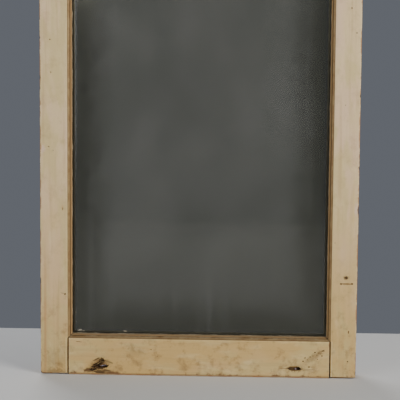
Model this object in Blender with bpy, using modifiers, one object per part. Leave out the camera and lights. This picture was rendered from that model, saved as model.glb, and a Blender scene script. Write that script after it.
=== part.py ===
"""Casement sash: a glazed and painted softwood light that swings on two butt hinges.

X runs across the sash, Y from the room side to the outside, Z up. The origin is the bottom centre of
the bounding box. A member's section is drawn as (inset, depth): inset runs outwards from the sight
line, where the glass first shows, and depth runs back from the room-side face.
"""

import math

import bmesh
import bpy
from mathutils import Vector

FIT = 0.0003  # gap between pieces that touch
OVERSHOOT = 0.001  # how far a cutter runs past the face it opens
OVERLAP = 0.002  # how far joined shapes run into each other

# Sash
SASH_WIDTH = 0.491
SASH_HEIGHT = 0.714
SASH_THICKNESS = 0.035
HANGING_STILE_WIDTH = 0.0478
CLOSING_STILE_WIDTH = 0.0449
TOP_RAIL_HEIGHT = 0.050
BOTTOM_RAIL_HEIGHT = 0.063
RAIL_DROP = 0.0018  # how far the loosened bottom rail hangs below the ends of the stiles
BOTTOM_SHOULDER_GAP = 0.001
TOP_SHOULDER_GAP = 0.0004

# Moulded edge and glazing rebate, both worked to the same width so that the shoulders are in line
STICKING_WIDTH = 0.0054
QUIRK_DEPTH = 0.001
FILLET_WIDTH = 0.0013
OVOLO_STEPS = 6
SEAT_DEPTH = 0.013

# Glazing
BED_THICKNESS = 0.0012
GLASS_THICKNESS = 0.003
GLASS_PLAY = 0.001
PUTTY_TOE_REACH = 0.0025
PUTTY_TOE_THICKNESS = 0.0006
PUTTY_SET_BACK = 0.0008
POINTS_PER_STILE = 3
POINTS_PER_RAIL = 1
POINT_THICKNESS = 0.0008
POINT_HALF_WIDTH = 0.005
POINT_OVER_GLASS = 0.0042
POINT_IN_WOOD = 0.006

# Wedged and pinned through tenons
TENON_THICKNESS = 0.011
TENON_DEPTH = 0.012  # from the room-side face to the tenon's near cheek
TENON_MARGIN = 0.006  # wood left between the tenon and the moulded edge
BOTTOM_HAUNCH_HEIGHT = 0.0156
TOP_HAUNCH_HEIGHT = 0.0106
HAUNCH_LENGTH = 0.009
HAUNCH_SET_BACK = 0.001
WEDGE_STOP = 0.005  # wood left between a wedge's point and the haunch
WEDGE_THICK_END = 0.0038
WEDGE_THIN_END = 0.001
JOINT_PIN_RADIUS = 0.003
JOINT_PIN_INSET = 0.016  # from the shoulder to the pin's centre
JOINT_PIN_COVER = 0.006  # wood left between the pin's end and the room-side face

# Torn nail holes in the bottom rail
TEAR_INSET = 0.092
TEAR_HEIGHT = 0.0145
LEFT_TEAR_HALF_SIZE = (0.0165, 0.005, 0.0075)
RIGHT_TEAR_HALF_SIZE = (0.0068, 0.006, 0.0036)
NAIL_RADIUS = 0.0018
NAIL_SET_BACK = 0.0026  # from the room-side face to the broken end
NAIL_LENGTH = 0.018

# Butt hinges
HINGE_LENGTH = 0.063
HINGE_INSET = 0.110  # from the end of the sash to the middle of the hinge
HINGE_GAP = 0.001  # between the closed leaves
LEAF_WIDTH = 0.0195
LEAF_THICKNESS = 0.0018
BARREL_RADIUS = 0.0036
KNUCKLES = 5
HINGE_PIN_RADIUS = 0.0016
HINGE_PIN_HEAD_RADIUS = 0.0026
HINGE_PIN_HEAD_THICKNESS = 0.0012
SCREWS_PER_LEAF = 3
SCREW_PITCH = 0.022
SCREW_STAGGER = 0.0025
SCREW_LENGTH = 0.025
SCREW_SHANK_RADIUS = 0.0017
SCREW_HEAD_RADIUS = 0.0033
SCREW_HEAD_RIM = 0.0002
SCREW_TAPER_LENGTH = 0.010
SCREW_SLOT_WIDTH = 0.0008
SCREW_SLOT_DEPTH = 0.0006

ROUND_STEPS = 24
SCREW_STEPS = 16

# Places worked out from the sizes above
BARREL_REACH = HINGE_GAP / 2 + BARREL_RADIUS
SASH_LEFT = BARREL_REACH - (SASH_WIDTH + BARREL_REACH) / 2
SASH_RIGHT = SASH_LEFT + SASH_WIDTH
FACE_Y = -(SASH_THICKNESS + FIT + 2 * BARREL_RADIUS) / 2
BACK_Y = FACE_Y + SASH_THICKNESS
AXIS_X = SASH_LEFT - HINGE_GAP / 2
AXIS_Y = BACK_Y + FIT + BARREL_RADIUS
SIGHT_LEFT = SASH_LEFT + HANGING_STILE_WIDTH
SIGHT_RIGHT = SASH_RIGHT - CLOSING_STILE_WIDTH
SIGHT_BOTTOM = BOTTOM_RAIL_HEIGHT
SIGHT_TOP = SASH_HEIGHT - TOP_RAIL_HEIGHT
REBATE_LEFT = SIGHT_LEFT - STICKING_WIDTH
REBATE_RIGHT = SIGHT_RIGHT + STICKING_WIDTH
REBATE_BOTTOM = SIGHT_BOTTOM - STICKING_WIDTH
REBATE_TOP = SIGHT_TOP + STICKING_WIDTH
GLASS_FRONT_DEPTH = SEAT_DEPTH + FIT + BED_THICKNESS + FIT
GLASS_BACK_DEPTH = GLASS_FRONT_DEPTH + GLASS_THICKNESS
KNUCKLE_LENGTH = (HINGE_LENGTH - (KNUCKLES - 1) * FIT) / KNUCKLES
LEAF_FREE_Y = BACK_Y - LEAF_WIDTH
ALONG_X = (0, -math.pi / 2, 0)  # turns an outline drawn as (z, y) so that it runs along X
AGAINST_X = (0, math.pi / 2, 0)
FACING_Y = (math.pi / 2, 0, 0)  # turns an outline drawn as (x, z) so that it runs along Y

PAINT = (0.52, 0.44, 0.32)
BARE_WOOD = (0.30, 0.17, 0.09)
PUTTY = (0.42, 0.38, 0.31)
DARK_STEEL = (0.16, 0.14, 0.12)


def new_collection(name):
    """A collection linked to the scene."""
    collection = bpy.data.collections.new(name)
    bpy.context.scene.collection.children.link(collection)
    return collection


def add_mesh(name, bm, location=(0, 0, 0), rotation=(0, 0, 0)):
    """Turns a bmesh into an object of the sash collection."""
    bmesh.ops.recalc_face_normals(bm, faces=bm.faces)
    mesh = bpy.data.meshes.new(name)
    bm.to_mesh(mesh)
    bm.free()
    obj = bpy.data.objects.new(name, mesh)
    obj.location = location
    obj.rotation_euler = rotation
    PARTS.objects.link(obj)
    return obj


def box(name, low, high):
    """A block between two opposite corners."""
    low = Vector(low)
    high = Vector(high)
    bm = bmesh.new()
    bmesh.ops.create_cube(bm, size=1.0)
    bmesh.ops.scale(bm, vec=high - low, verts=bm.verts)
    return add_mesh(name, bm, location=(low + high) / 2)


def rod(name, radius, length, centre, rotation=(0, 0, 0)):
    """A cylinder, along Z unless it is turned."""
    bm = bmesh.new()
    bmesh.ops.create_cone(
        bm, cap_ends=True, segments=ROUND_STEPS, radius1=radius, radius2=radius, depth=length
    )
    obj = add_mesh(name, bm, centre, rotation)
    shade_round(obj)
    return obj


def ellipsoid(name, half_size, centre):
    """A ball stretched to three half sizes."""
    bm = bmesh.new()
    bmesh.ops.create_uvsphere(bm, u_segments=14, v_segments=9, radius=1.0)
    bmesh.ops.scale(bm, vec=half_size, verts=bm.verts)
    return add_mesh(name, bm, centre)


def prism(name, outlines, length, location=(0, 0, 0), rotation=(0, 0, 0)):
    """A flat outline, with any holes in it, extruded evenly to both sides of its plane."""
    curve = bpy.data.curves.new(name, "CURVE")
    curve.dimensions = "2D"
    curve.fill_mode = "BOTH"
    curve.extrude = length / 2
    for outline in outlines:
        spline = curve.splines.new("POLY")
        spline.points.add(len(outline) - 1)
        for point, (across, up) in zip(spline.points, outline):
            point.co = (across, up, 0, 1)
        spline.use_cyclic_u = True
    flat = bpy.data.objects.new(name, curve)
    PARTS.objects.link(flat)
    graph = bpy.context.evaluated_depsgraph_get()
    mesh = bpy.data.meshes.new_from_object(flat.evaluated_get(graph))
    bm = bmesh.new()
    bm.from_mesh(mesh)
    bmesh.ops.remove_doubles(bm, verts=bm.verts, dist=1e-6)
    bpy.data.objects.remove(flat)
    bpy.data.curves.remove(curve)
    bpy.data.meshes.remove(mesh)
    return add_mesh(name, bm, location, rotation)


def turned(name, profile, steps, location, rotation=(0, 0, 0)):
    """A profile of (radius, height) points, listed from the top down, spun about Z."""
    bm = bmesh.new()
    points = [bm.verts.new((radius, 0, height)) for radius, height in profile]
    for upper, lower in zip(points, points[1:]):
        bm.edges.new((upper, lower))
    obj = add_mesh(name, bm, location, rotation)
    screw = obj.modifiers.new("Turn", "SCREW")
    screw.steps = steps
    screw.render_steps = steps
    screw.use_merge_vertices = True
    screw.merge_threshold = 1e-5
    return obj


def shade_round(obj):
    """Smooth round sides that keep their sharp rims."""
    obj.data.shade_smooth()
    obj.data.set_sharp_from_angle(angle=math.radians(40))


def trim(obj, point, outward):
    """Cuts away what lies beyond a plane given in the object's own axes, and closes the end."""
    bm = bmesh.new()
    bm.from_mesh(obj.data)
    geometry = bm.verts[:] + bm.edges[:] + bm.faces[:]
    bmesh.ops.bisect_plane(bm, geom=geometry, plane_co=point, plane_no=outward, clear_outer=True)
    rim = [edge for edge in bm.edges if edge.is_boundary]
    bmesh.ops.contextual_create(bm, geom=rim)
    bmesh.ops.recalc_face_normals(bm, faces=bm.faces)
    bm.to_mesh(obj.data)
    bm.free()


def mitre_both_ends(obj, edge, inward, length):
    """Mitres a run whose section is drawn across local X. The edge is where the rebate lies in X,
    inward is the sign of X towards the glass, and length is the run's length at that edge."""
    for end in (-1, 1):
        trim(obj, (edge, 0, end * length / 2), (inward, 0, end))


def boolean(target, tool, operation):
    """Adds a tool to the target's collection for this operation, which one modifier applies whole."""
    name = f"{target.name}_{operation.lower()}"
    if name not in target.modifiers:
        tools = bpy.data.collections.new(name)
        tools.hide_render = True
        CUTTERS.children.link(tools)
        modifier = target.modifiers.new(name, "BOOLEAN")
        modifier.operation = operation
        modifier.solver = "EXACT"
        modifier.operand_type = "COLLECTION"
        modifier.collection = tools
    target.modifiers[name].collection.objects.link(tool)
    if tool.name in PARTS.objects:
        PARTS.objects.unlink(tool)
    tool.hide_render = True
    tool.display_type = "WIRE"


def join(target, tool):
    boolean(target, tool, "UNION")


def cut(target, tool):
    boolean(target, tool, "DIFFERENCE")


def finish(obj, colour, roughness, metallic=0.0, transmission=0.0):
    """Gives a piece its own Principled material."""
    material = bpy.data.materials.new(obj.name)
    material.use_nodes = True
    shader = material.node_tree.nodes["Principled BSDF"]
    shader.inputs["Base Color"].default_value = (*colour, 1)
    shader.inputs["Roughness"].default_value = roughness
    shader.inputs["Metallic"].default_value = metallic
    shader.inputs["Transmission Weight"].default_value = transmission
    obj.data.materials.clear()
    obj.data.materials.append(material)


def moulded_edge():
    """The room-side moulding as (inset, depth), from the face to the glass seat."""
    radius = STICKING_WIDTH - FILLET_WIDTH
    points = []
    for step in range(OVOLO_STEPS + 1):
        angle = math.pi / 2 * step / OVOLO_STEPS
        inset = STICKING_WIDTH - radius * math.sin(angle)
        points.append((inset, QUIRK_DEPTH + radius * (1 - math.cos(angle))))
    points.append((0, QUIRK_DEPTH + radius))
    points.append((0, SEAT_DEPTH))
    return points


def place_section(section, sight, outward):
    """Moves (inset, depth) points to their place across a member."""
    return [(sight + outward * inset, FACE_Y + depth) for inset, depth in section]


class Corner:
    """One joint of a stile and a rail, worked out from the outer corner of the sash.

    across runs from the stile's outer edge towards the glass, along from the rail's outer edge
    towards the glass."""

    def __init__(self, side, end):
        self.name = ("hanging" if side > 0 else "closing") + ("_bottom" if end > 0 else "_top")
        self.side = side
        self.end = end
        self.edge_x = SASH_LEFT if side > 0 else SASH_RIGHT
        self.edge_z = 0 if end > 0 else SASH_HEIGHT
        stile_width = HANGING_STILE_WIDTH if side > 0 else CLOSING_STILE_WIDTH
        rail_height = BOTTOM_RAIL_HEIGHT if end > 0 else TOP_RAIL_HEIGHT
        self.gap = BOTTOM_SHOULDER_GAP if end > 0 else TOP_SHOULDER_GAP
        self.stile_edge = stile_width - STICKING_WIDTH
        self.shoulder = self.stile_edge + self.gap
        self.tenon_low = BOTTOM_HAUNCH_HEIGHT if end > 0 else TOP_HAUNCH_HEIGHT
        self.tenon_high = rail_height - STICKING_WIDTH - TENON_MARGIN
        self.wedge_length = self.stile_edge - HAUNCH_LENGTH - WEDGE_STOP
        self.pin_along = (self.tenon_low + self.tenon_high) / 2
        self.pin_across = self.stile_edge - JOINT_PIN_INSET

    def place(self, outline):
        """(across, along) points as (x, z)."""
        return [
            (self.edge_x + self.side * across, self.edge_z + self.end * along)
            for across, along in outline
        ]

    def slab(self, name, outline, thickness):
        """An outline of the corner made as thick as asked about the middle of the tenon."""
        middle = FACE_Y + TENON_DEPTH + TENON_THICKNESS / 2
        return prism(name, [self.place(outline)], thickness, (0, middle, 0), FACING_Y)

    def tenon(self):
        inside = self.shoulder + OVERLAP
        haunch = self.shoulder - HAUNCH_LENGTH
        outline = [
            (inside, HAUNCH_SET_BACK),
            (inside, self.tenon_high),
            (self.gap, self.tenon_high),
            (self.gap, self.tenon_low),
            (haunch, self.tenon_low),
            (haunch, HAUNCH_SET_BACK),
        ]
        return self.slab(self.name + "_tenon", outline, TENON_THICKNESS)

    def mortise(self):
        """Room for the tenon, its haunch and the wedges that flare it."""
        inside = self.stile_edge + OVERLAP
        wedge_end = self.wedge_length + FIT
        haunch = self.shoulder - HAUNCH_LENGTH - FIT
        slope = (WEDGE_THICK_END - WEDGE_THIN_END) / self.wedge_length
        wide = 2 * FIT + WEDGE_THICK_END + OVERSHOOT * slope
        narrow = 2 * FIT + WEDGE_THIN_END
        outline = [
            (inside, self.tenon_high + FIT),
            (wedge_end, self.tenon_high + FIT),
            (wedge_end, self.tenon_high + narrow),
            (-OVERSHOOT, self.tenon_high + wide),
            (-OVERSHOOT, self.tenon_low - wide),
            (wedge_end, self.tenon_low - narrow),
            (wedge_end, self.tenon_low - FIT),
            (haunch, self.tenon_low - FIT),
            (haunch, -OVERSHOOT),
            (inside, -OVERSHOOT),
        ]
        return self.slab(self.name + "_mortise", outline, TENON_THICKNESS + 2 * FIT)

    def wedge(self, name, edge, away):
        """One wedge against the tenon's edge, on the side that away points to."""
        outline = [
            (0, edge + away * FIT),
            (0, edge + away * (FIT + WEDGE_THICK_END)),
            (self.wedge_length, edge + away * (FIT + WEDGE_THIN_END)),
            (self.wedge_length, edge + away * FIT),
        ]
        return self.slab(name, outline, TENON_THICKNESS)

    def pin(self, name, radius, back_depth, cover):
        """A blind pin, or its hole, from the outside face through the tenon."""
        (x, z), = self.place([(self.pin_across, self.pin_along)])
        length = back_depth - cover
        centre = (x, FACE_Y + cover + length / 2, z)
        return rod(name, radius, length, centre, FACING_Y)


def make_stiles():
    """The two uprights: a plain blank and a moulded strip that is mitred to meet the rails."""
    stiles = {}
    for name, side in (("hanging_stile", 1), ("closing_stile", -1)):
        outer = SASH_LEFT if side > 0 else SASH_RIGHT
        rebate = REBATE_LEFT if side > 0 else REBATE_RIGHT
        sight = SIGHT_LEFT if side > 0 else SIGHT_RIGHT
        low_x, high_x = sorted((outer, rebate))
        stile = box(name, (low_x, FACE_Y, RAIL_DROP), (high_x, BACK_Y, SASH_HEIGHT))
        inner = STICKING_WIDTH + OVERLAP
        section = [(inner, QUIRK_DEPTH), *moulded_edge(), (inner, SEAT_DEPTH)]
        length = REBATE_TOP - REBATE_BOTTOM
        middle = (0, 0, (REBATE_TOP + REBATE_BOTTOM) / 2)
        outline = place_section(section, sight, -side)
        strip = prism(name + "_moulding", [outline], length + 2 * inner, middle)
        mitre_both_ends(strip, rebate, side, length)
        join(stile, strip)
        stiles[side] = stile
    return stiles


def make_rails():
    """The two rails, moulded over their full length, mitred above the shoulders."""
    rails = {}
    for name, end in (("bottom_rail", 1), ("top_rail", -1)):
        sight = SIGHT_BOTTOM if end > 0 else SIGHT_TOP
        rebate = REBATE_BOTTOM if end > 0 else REBATE_TOP
        width = BOTTOM_RAIL_HEIGHT if end > 0 else TOP_RAIL_HEIGHT
        gap = BOTTOM_SHOULDER_GAP if end > 0 else TOP_SHOULDER_GAP
        section = [
            (STICKING_WIDTH, 0),
            *moulded_edge(),
            (STICKING_WIDTH, SEAT_DEPTH),
            (STICKING_WIDTH, SASH_THICKNESS),
            (width, SASH_THICKNESS),
            (width, 0),
        ]
        length = REBATE_RIGHT - REBATE_LEFT - 2 * gap
        middle = ((REBATE_RIGHT + REBATE_LEFT) / 2, 0, 0)
        outline = place_section(section, sight, -end)
        rail = prism(name, [outline], length, middle, ALONG_X)
        mitre_both_ends(rail, rebate, end, length)
        rails[end] = rail
    return rails


def join_corners(stiles, rails):
    """Tenons, mortises, wedges and pins at the four corners."""
    pieces = []
    for side in (1, -1):
        for end in (1, -1):
            corner = Corner(side, end)
            join(rails[end], corner.tenon())
            cut(stiles[side], corner.mortise())
            hole = corner.pin(
                corner.name + "_pin_hole",
                JOINT_PIN_RADIUS + FIT,
                SASH_THICKNESS + OVERSHOOT,
                JOINT_PIN_COVER - FIT,
            )
            cut(stiles[side], hole)
            cut(rails[end], hole)
            number = len(pieces) // 3
            low = corner.wedge(f"tenon_wedge_{2 * number + 1}", corner.tenon_low, -1)
            high = corner.wedge(f"tenon_wedge_{2 * number + 2}", corner.tenon_high, 1)
            pin = corner.pin(
                f"joint_pin_{number + 1}", JOINT_PIN_RADIUS, SASH_THICKNESS, JOINT_PIN_COVER
            )
            pieces += [low, high, pin]
    for piece in pieces:
        finish(piece, BARE_WOOD, 0.75)
    return pieces


def make_glass_and_bed():
    """The pane and the thin putty bed between it and the rebate."""
    reach = STICKING_WIDTH - GLASS_PLAY
    pane = box(
        "glass_pane",
        (SIGHT_LEFT - reach, FACE_Y + GLASS_FRONT_DEPTH, SIGHT_BOTTOM - reach),
        (SIGHT_RIGHT + reach, FACE_Y + GLASS_BACK_DEPTH, SIGHT_TOP + reach),
    )
    finish(pane, (0.60, 0.62, 0.60), 0.12, transmission=0.85)

    def rectangle(outset):
        return [
            (SIGHT_LEFT - outset, SIGHT_BOTTOM - outset),
            (SIGHT_RIGHT + outset, SIGHT_BOTTOM - outset),
            (SIGHT_RIGHT + outset, SIGHT_TOP + outset),
            (SIGHT_LEFT - outset, SIGHT_TOP + outset),
        ]

    middle = FACE_Y + SEAT_DEPTH + FIT + BED_THICKNESS / 2
    outlines = [rectangle(STICKING_WIDTH - FIT), rectangle(0)]
    bed = prism("bed_putty", outlines, BED_THICKNESS, (0, middle, 0), FACING_Y)
    finish(bed, PUTTY, 0.8)
    return [pane, bed]


def make_face_putty():
    """Four sloped runs of putty outside the glass, mitred at the corners."""
    section = [
        (-PUTTY_TOE_REACH, GLASS_BACK_DEPTH + FIT),
        (STICKING_WIDTH - FIT, GLASS_BACK_DEPTH + FIT),
        (STICKING_WIDTH - FIT, SASH_THICKNESS - PUTTY_SET_BACK),
        (-PUTTY_TOE_REACH, GLASS_BACK_DEPTH + FIT + PUTTY_TOE_THICKNESS),
    ]
    height = REBATE_TOP - REBATE_BOTTOM - 2 * FIT
    width = REBATE_RIGHT - REBATE_LEFT - 2 * FIT
    centre_x = (REBATE_LEFT + REBATE_RIGHT) / 2
    centre_z = (REBATE_BOTTOM + REBATE_TOP) / 2
    upright = (height, (0, 0, centre_z), (0, 0, 0))
    level = (width, (centre_x, 0, 0), ALONG_X)
    runs = {
        "hanging": ("putty_hanging_side", SIGHT_LEFT, REBATE_LEFT, 1, upright),
        "closing": ("putty_closing_side", SIGHT_RIGHT, REBATE_RIGHT, -1, upright),
        "bottom": ("putty_bottom", SIGHT_BOTTOM, REBATE_BOTTOM, 1, level),
        "top": ("putty_top", SIGHT_TOP, REBATE_TOP, -1, level),
    }
    made = {}
    for key, (name, sight, rebate, inward, (length, location, rotation)) in runs.items():
        outline = place_section(section, sight, -inward)
        run = prism(name, [outline], length, location, rotation)
        mitre_both_ends(run, rebate, inward, length)
        finish(run, PUTTY, 0.8)
        made[key] = run
    return made


def point_outline(place, clearance):
    """A glazing point, or its slot: a triangle driven into the wood, base over the glass."""
    half = POINT_HALF_WIDTH + 2 * clearance
    base = POINT_OVER_GLASS + clearance
    tip = POINT_IN_WOOD + 3 * clearance
    return [place(base, -half), place(base, half), place(-tip, 0)]


def make_glazing_points(stiles, rails, putty):
    """Steel points along all four members, each with its slot in the wood and in the putty."""
    places = []
    daylight_height = SIGHT_TOP - SIGHT_BOTTOM
    daylight_width = SIGHT_RIGHT - SIGHT_LEFT
    for side, key, edge in ((1, "hanging", REBATE_LEFT), (-1, "closing", REBATE_RIGHT)):
        for index in range(POINTS_PER_STILE):
            z = SIGHT_BOTTOM + daylight_height * (index + 0.5) / POINTS_PER_STILE
            places.append((stiles[side], putty[key], (edge, z), (side, 0)))
    for end, key, edge in ((1, "bottom", REBATE_BOTTOM), (-1, "top", REBATE_TOP)):
        for index in range(POINTS_PER_RAIL):
            x = SIGHT_LEFT + daylight_width * (index + 0.5) / POINTS_PER_RAIL
            places.append((rails[end], putty[key], (x, edge), (0, end)))
    points = []
    middle = FACE_Y + GLASS_BACK_DEPTH + FIT + POINT_THICKNESS / 2
    for number, (member, run, (x, z), (in_x, in_z)) in enumerate(places, 1):

        def place(towards_glass, aside):
            return (x + in_x * towards_glass + in_z * aside, z + in_z * towards_glass + in_x * aside)

        name = f"glazing_point_{number}"
        outline = point_outline(place, 0)
        point = prism(name, [outline], POINT_THICKNESS, (0, middle, 0), FACING_Y)
        finish(point, DARK_STEEL, 0.5, metallic=0.8)
        slot_outline = point_outline(place, FIT)
        slot_thickness = POINT_THICKNESS + 2 * FIT
        slot = prism(name + "_slot", [slot_outline], slot_thickness, (0, middle, 0), FACING_Y)
        cut(member, slot)
        cut(run, slot)
        points.append(point)
    return points


def make_torn_holes(bottom_rail):
    """Two holes low on the room-side face, each torn round a nail that broke off below it."""
    stubs = []
    places = (
        ("left", SASH_LEFT + TEAR_INSET, LEFT_TEAR_HALF_SIZE),
        ("right", SASH_RIGHT - TEAR_INSET, RIGHT_TEAR_HALF_SIZE),
    )
    for side, x, half_size in places:
        cut(bottom_rail, ellipsoid(f"{side}_tear", half_size, (x, FACE_Y, TEAR_HEIGHT)))
        start = FACE_Y + NAIL_SET_BACK
        hole_centre = (x, start + (NAIL_LENGTH + FIT) / 2, TEAR_HEIGHT)
        hole = rod(
            f"{side}_nail_hole", NAIL_RADIUS + FIT, NAIL_LENGTH + FIT, hole_centre, FACING_Y
        )
        cut(bottom_rail, hole)
        centre = (x, start + NAIL_LENGTH / 2, TEAR_HEIGHT)
        stub = rod(f"nail_stub_{side}", NAIL_RADIUS, NAIL_LENGTH, centre, FACING_Y)
        finish(stub, DARK_STEEL, 0.35, metallic=0.9)
        stubs.append(stub)
    return stubs


def screw_profile(clearance):
    """Half the section of a countersunk screw, or of its hole, from the head down."""
    head = SCREW_HEAD_RADIUS + clearance
    shank = SCREW_SHANK_RADIUS + clearance
    cone = SCREW_HEAD_RADIUS - SCREW_SHANK_RADIUS
    top = clearance
    return [
        (0, top),
        (head, top),
        (head, -SCREW_HEAD_RIM),
        (shank, -SCREW_HEAD_RIM - cone),
        (shank, -SCREW_LENGTH + SCREW_TAPER_LENGTH),
        (0, -SCREW_LENGTH - 3 * clearance),
    ]


def make_leaf(name, hinge_z, side):
    """One hinge leaf with its knuckles: side is 1 for the sash leaf and -1 for the frame leaf."""
    near = AXIS_X + side * HINGE_GAP / 2
    far = near + side * LEAF_THICKNESS
    low_x, high_x = sorted((near, far))
    low_z = hinge_z - HINGE_LENGTH / 2
    high_z = hinge_z + HINGE_LENGTH / 2
    leaf = box(name, (low_x, LEAF_FREE_Y, low_z), (high_x, BACK_Y, high_z))
    first = 1 if side > 0 else 0
    for index in range(first, KNUCKLES, 2):
        bottom = low_z + index * (KNUCKLE_LENGTH + FIT)
        top = bottom + KNUCKLE_LENGTH
        tongue_low = (low_x, BACK_Y - OVERLAP, bottom)
        join(leaf, box(f"{name}_tongue_{index}", tongue_low, (high_x, AXIS_Y, top)))
        middle = (AXIS_X, AXIS_Y, (bottom + top) / 2)
        join(leaf, rod(f"{name}_knuckle_{index}", BARREL_RADIUS, KNUCKLE_LENGTH, middle))
    bore_length = HINGE_LENGTH + 2 * OVERSHOOT
    bore_radius = HINGE_PIN_RADIUS + FIT
    cut(leaf, rod(name + "_bore", bore_radius, bore_length, (AXIS_X, AXIS_Y, hinge_z)))
    shade_round(leaf)
    finish(leaf, DARK_STEEL, 0.55, metallic=0.8)
    return leaf


def screw_places(hinge_z):
    """Centres of a leaf's screws as (y, z), staggered to either side of its middle."""
    leaf_middle = LEAF_FREE_Y + LEAF_WIDTH / 2
    for index in range(SCREWS_PER_LEAF):
        offset = index - (SCREWS_PER_LEAF - 1) / 2
        stagger = SCREW_STAGGER if index % 2 == 0 else -SCREW_STAGGER
        yield leaf_middle + stagger, hinge_z + offset * SCREW_PITCH


def cut_gain(name, hinge_z, hanging_stile):
    """Lets the sash leaf into the stile's outer edge, flush with it."""
    half = HINGE_LENGTH / 2 + FIT
    low = (SASH_LEFT - OVERSHOOT, LEAF_FREE_Y - FIT, hinge_z - half)
    high = (SASH_LEFT + LEAF_THICKNESS + FIT, BACK_Y + OVERSHOOT, hinge_z + half)
    cut(hanging_stile, box(name, low, high))


def make_screw(name, head):
    """One slotted countersunk screw in the sash leaf, and its hole."""
    x, y, z = head
    screw = turned(name, screw_profile(0), SCREW_STEPS, head, ALONG_X)
    slot_low = (x - OVERSHOOT, y - SCREW_SLOT_WIDTH / 2, z - 2 * SCREW_HEAD_RADIUS)
    slot_high = (x + SCREW_SLOT_DEPTH, y + SCREW_SLOT_WIDTH / 2, z + 2 * SCREW_HEAD_RADIUS)
    cut(screw, box(name + "_slot", slot_low, slot_high))
    finish(screw, DARK_STEEL, 0.45, metallic=0.85)
    hole = turned(name + "_hole", screw_profile(FIT), SCREW_STEPS, head, ALONG_X)
    return screw, hole


def make_hinge_pin(name, hinge_z):
    """The pin that both leaves turn on, headed at both ends."""
    half = HINGE_LENGTH / 2 + FIT
    outer = half + HINGE_PIN_HEAD_THICKNESS
    profile = [
        (0, outer),
        (HINGE_PIN_HEAD_RADIUS, outer),
        (HINGE_PIN_HEAD_RADIUS, half),
        (HINGE_PIN_RADIUS, half),
        (HINGE_PIN_RADIUS, -half),
        (HINGE_PIN_HEAD_RADIUS, -half),
        (HINGE_PIN_HEAD_RADIUS, -outer),
        (0, -outer),
    ]
    pin = turned(name, profile, ROUND_STEPS, (AXIS_X, AXIS_Y, hinge_z))
    finish(pin, DARK_STEEL, 0.4, metallic=0.85)
    return pin


def make_hinge(level, hinge_z, hanging_stile):
    """One butt hinge: the pieces that stay with the frame, and those that swing with the sash."""
    sash_leaf = make_leaf(f"{level}_hinge_sash_leaf", hinge_z, 1)
    frame_leaf = make_leaf(f"{level}_hinge_frame_leaf", hinge_z, -1)
    cut_gain(f"{level}_hinge_gain", hinge_z, hanging_stile)
    screws = []
    for number, (y, z) in enumerate(screw_places(hinge_z), 1):
        screw, hole = make_screw(f"{level}_hinge_screw_{number}", (SASH_LEFT, y, z))
        cut(sash_leaf, hole)
        cut(hanging_stile, hole)
        screws.append(screw)
        frame_head = (SASH_LEFT - HINGE_GAP, y, z)
        frame_hole = turned(
            f"{level}_frame_hole_{number}", screw_profile(FIT), SCREW_STEPS, frame_head, AGAINST_X
        )
        cut(frame_leaf, frame_hole)
    pin = make_hinge_pin(f"{level}_hinge_pin", hinge_z)
    return [frame_leaf, pin], [sash_leaf, *screws]


def add_pivot(name, location, pieces):
    """An empty on the joint axis that carries the pieces that swing."""
    pivot = bpy.data.objects.new(name, None)
    pivot.location = location
    pivot.empty_display_size = 0.05
    PARTS.objects.link(pivot)
    bpy.context.view_layer.update()
    for piece in pieces:
        piece.parent = pivot
        piece.matrix_parent_inverse = pivot.matrix_world.inverted()
    return pivot


def make_sash():
    stiles = make_stiles()
    rails = make_rails()
    corner_pieces = join_corners(stiles, rails)
    glazing = make_glass_and_bed()
    putty = make_face_putty()
    points = make_glazing_points(stiles, rails, putty)
    stubs = make_torn_holes(rails[1])
    fixed = []
    swinging = [*stiles.values(), *rails.values(), *corner_pieces, *glazing]
    swinging += [*putty.values(), *points, *stubs]
    lower_z = RAIL_DROP + HINGE_INSET
    upper_z = SASH_HEIGHT - HINGE_INSET
    for level, hinge_z in (("lower", lower_z), ("upper", upper_z)):
        stays, swings = make_hinge(level, hinge_z, stiles[1])
        fixed += stays
        swinging += swings
    for member in (*stiles.values(), *rails.values()):
        finish(member, PAINT, 0.6)
    add_pivot("sash_swing_axis", (AXIS_X, AXIS_Y, lower_z), swinging)
    return fixed + swinging


for existing in list(bpy.data.objects):
    bpy.data.objects.remove(existing, do_unlink=True)
PARTS = new_collection("casement_sash")
CUTTERS = new_collection("cutters")
make_sash()
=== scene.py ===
"""A salvaged casement sash: cream oil paint over softwood, an old dusty pane, putty and rusty hinges."""

import math

import bmesh
import bpy
from mathutils import Matrix, Vector, noise


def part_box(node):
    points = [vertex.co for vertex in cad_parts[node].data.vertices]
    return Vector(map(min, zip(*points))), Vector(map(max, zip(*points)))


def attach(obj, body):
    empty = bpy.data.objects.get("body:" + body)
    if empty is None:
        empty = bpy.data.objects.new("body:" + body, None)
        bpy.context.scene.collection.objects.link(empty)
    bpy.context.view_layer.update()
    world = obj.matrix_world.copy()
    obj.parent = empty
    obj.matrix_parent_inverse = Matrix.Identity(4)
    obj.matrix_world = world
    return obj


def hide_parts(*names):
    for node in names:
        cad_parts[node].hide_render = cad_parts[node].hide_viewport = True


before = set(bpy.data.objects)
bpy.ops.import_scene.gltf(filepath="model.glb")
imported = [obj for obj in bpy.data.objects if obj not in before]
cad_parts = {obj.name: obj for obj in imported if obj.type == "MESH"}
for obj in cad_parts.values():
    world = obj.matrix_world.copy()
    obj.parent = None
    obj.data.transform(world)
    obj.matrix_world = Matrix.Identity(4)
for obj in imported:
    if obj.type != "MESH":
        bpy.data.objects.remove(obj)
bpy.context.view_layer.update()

# Places taken from the frame
FIT = 0.0003  # gap between pieces that touch
HANGING_LOW, HANGING_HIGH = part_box("hanging_stile")
CLOSING_LOW, CLOSING_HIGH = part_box("closing_stile")
BOTTOM_LOW, BOTTOM_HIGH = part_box("bottom_rail")
TOP_LOW, TOP_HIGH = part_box("top_rail")
BED_LOW, BED_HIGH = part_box("bed_putty")
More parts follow.
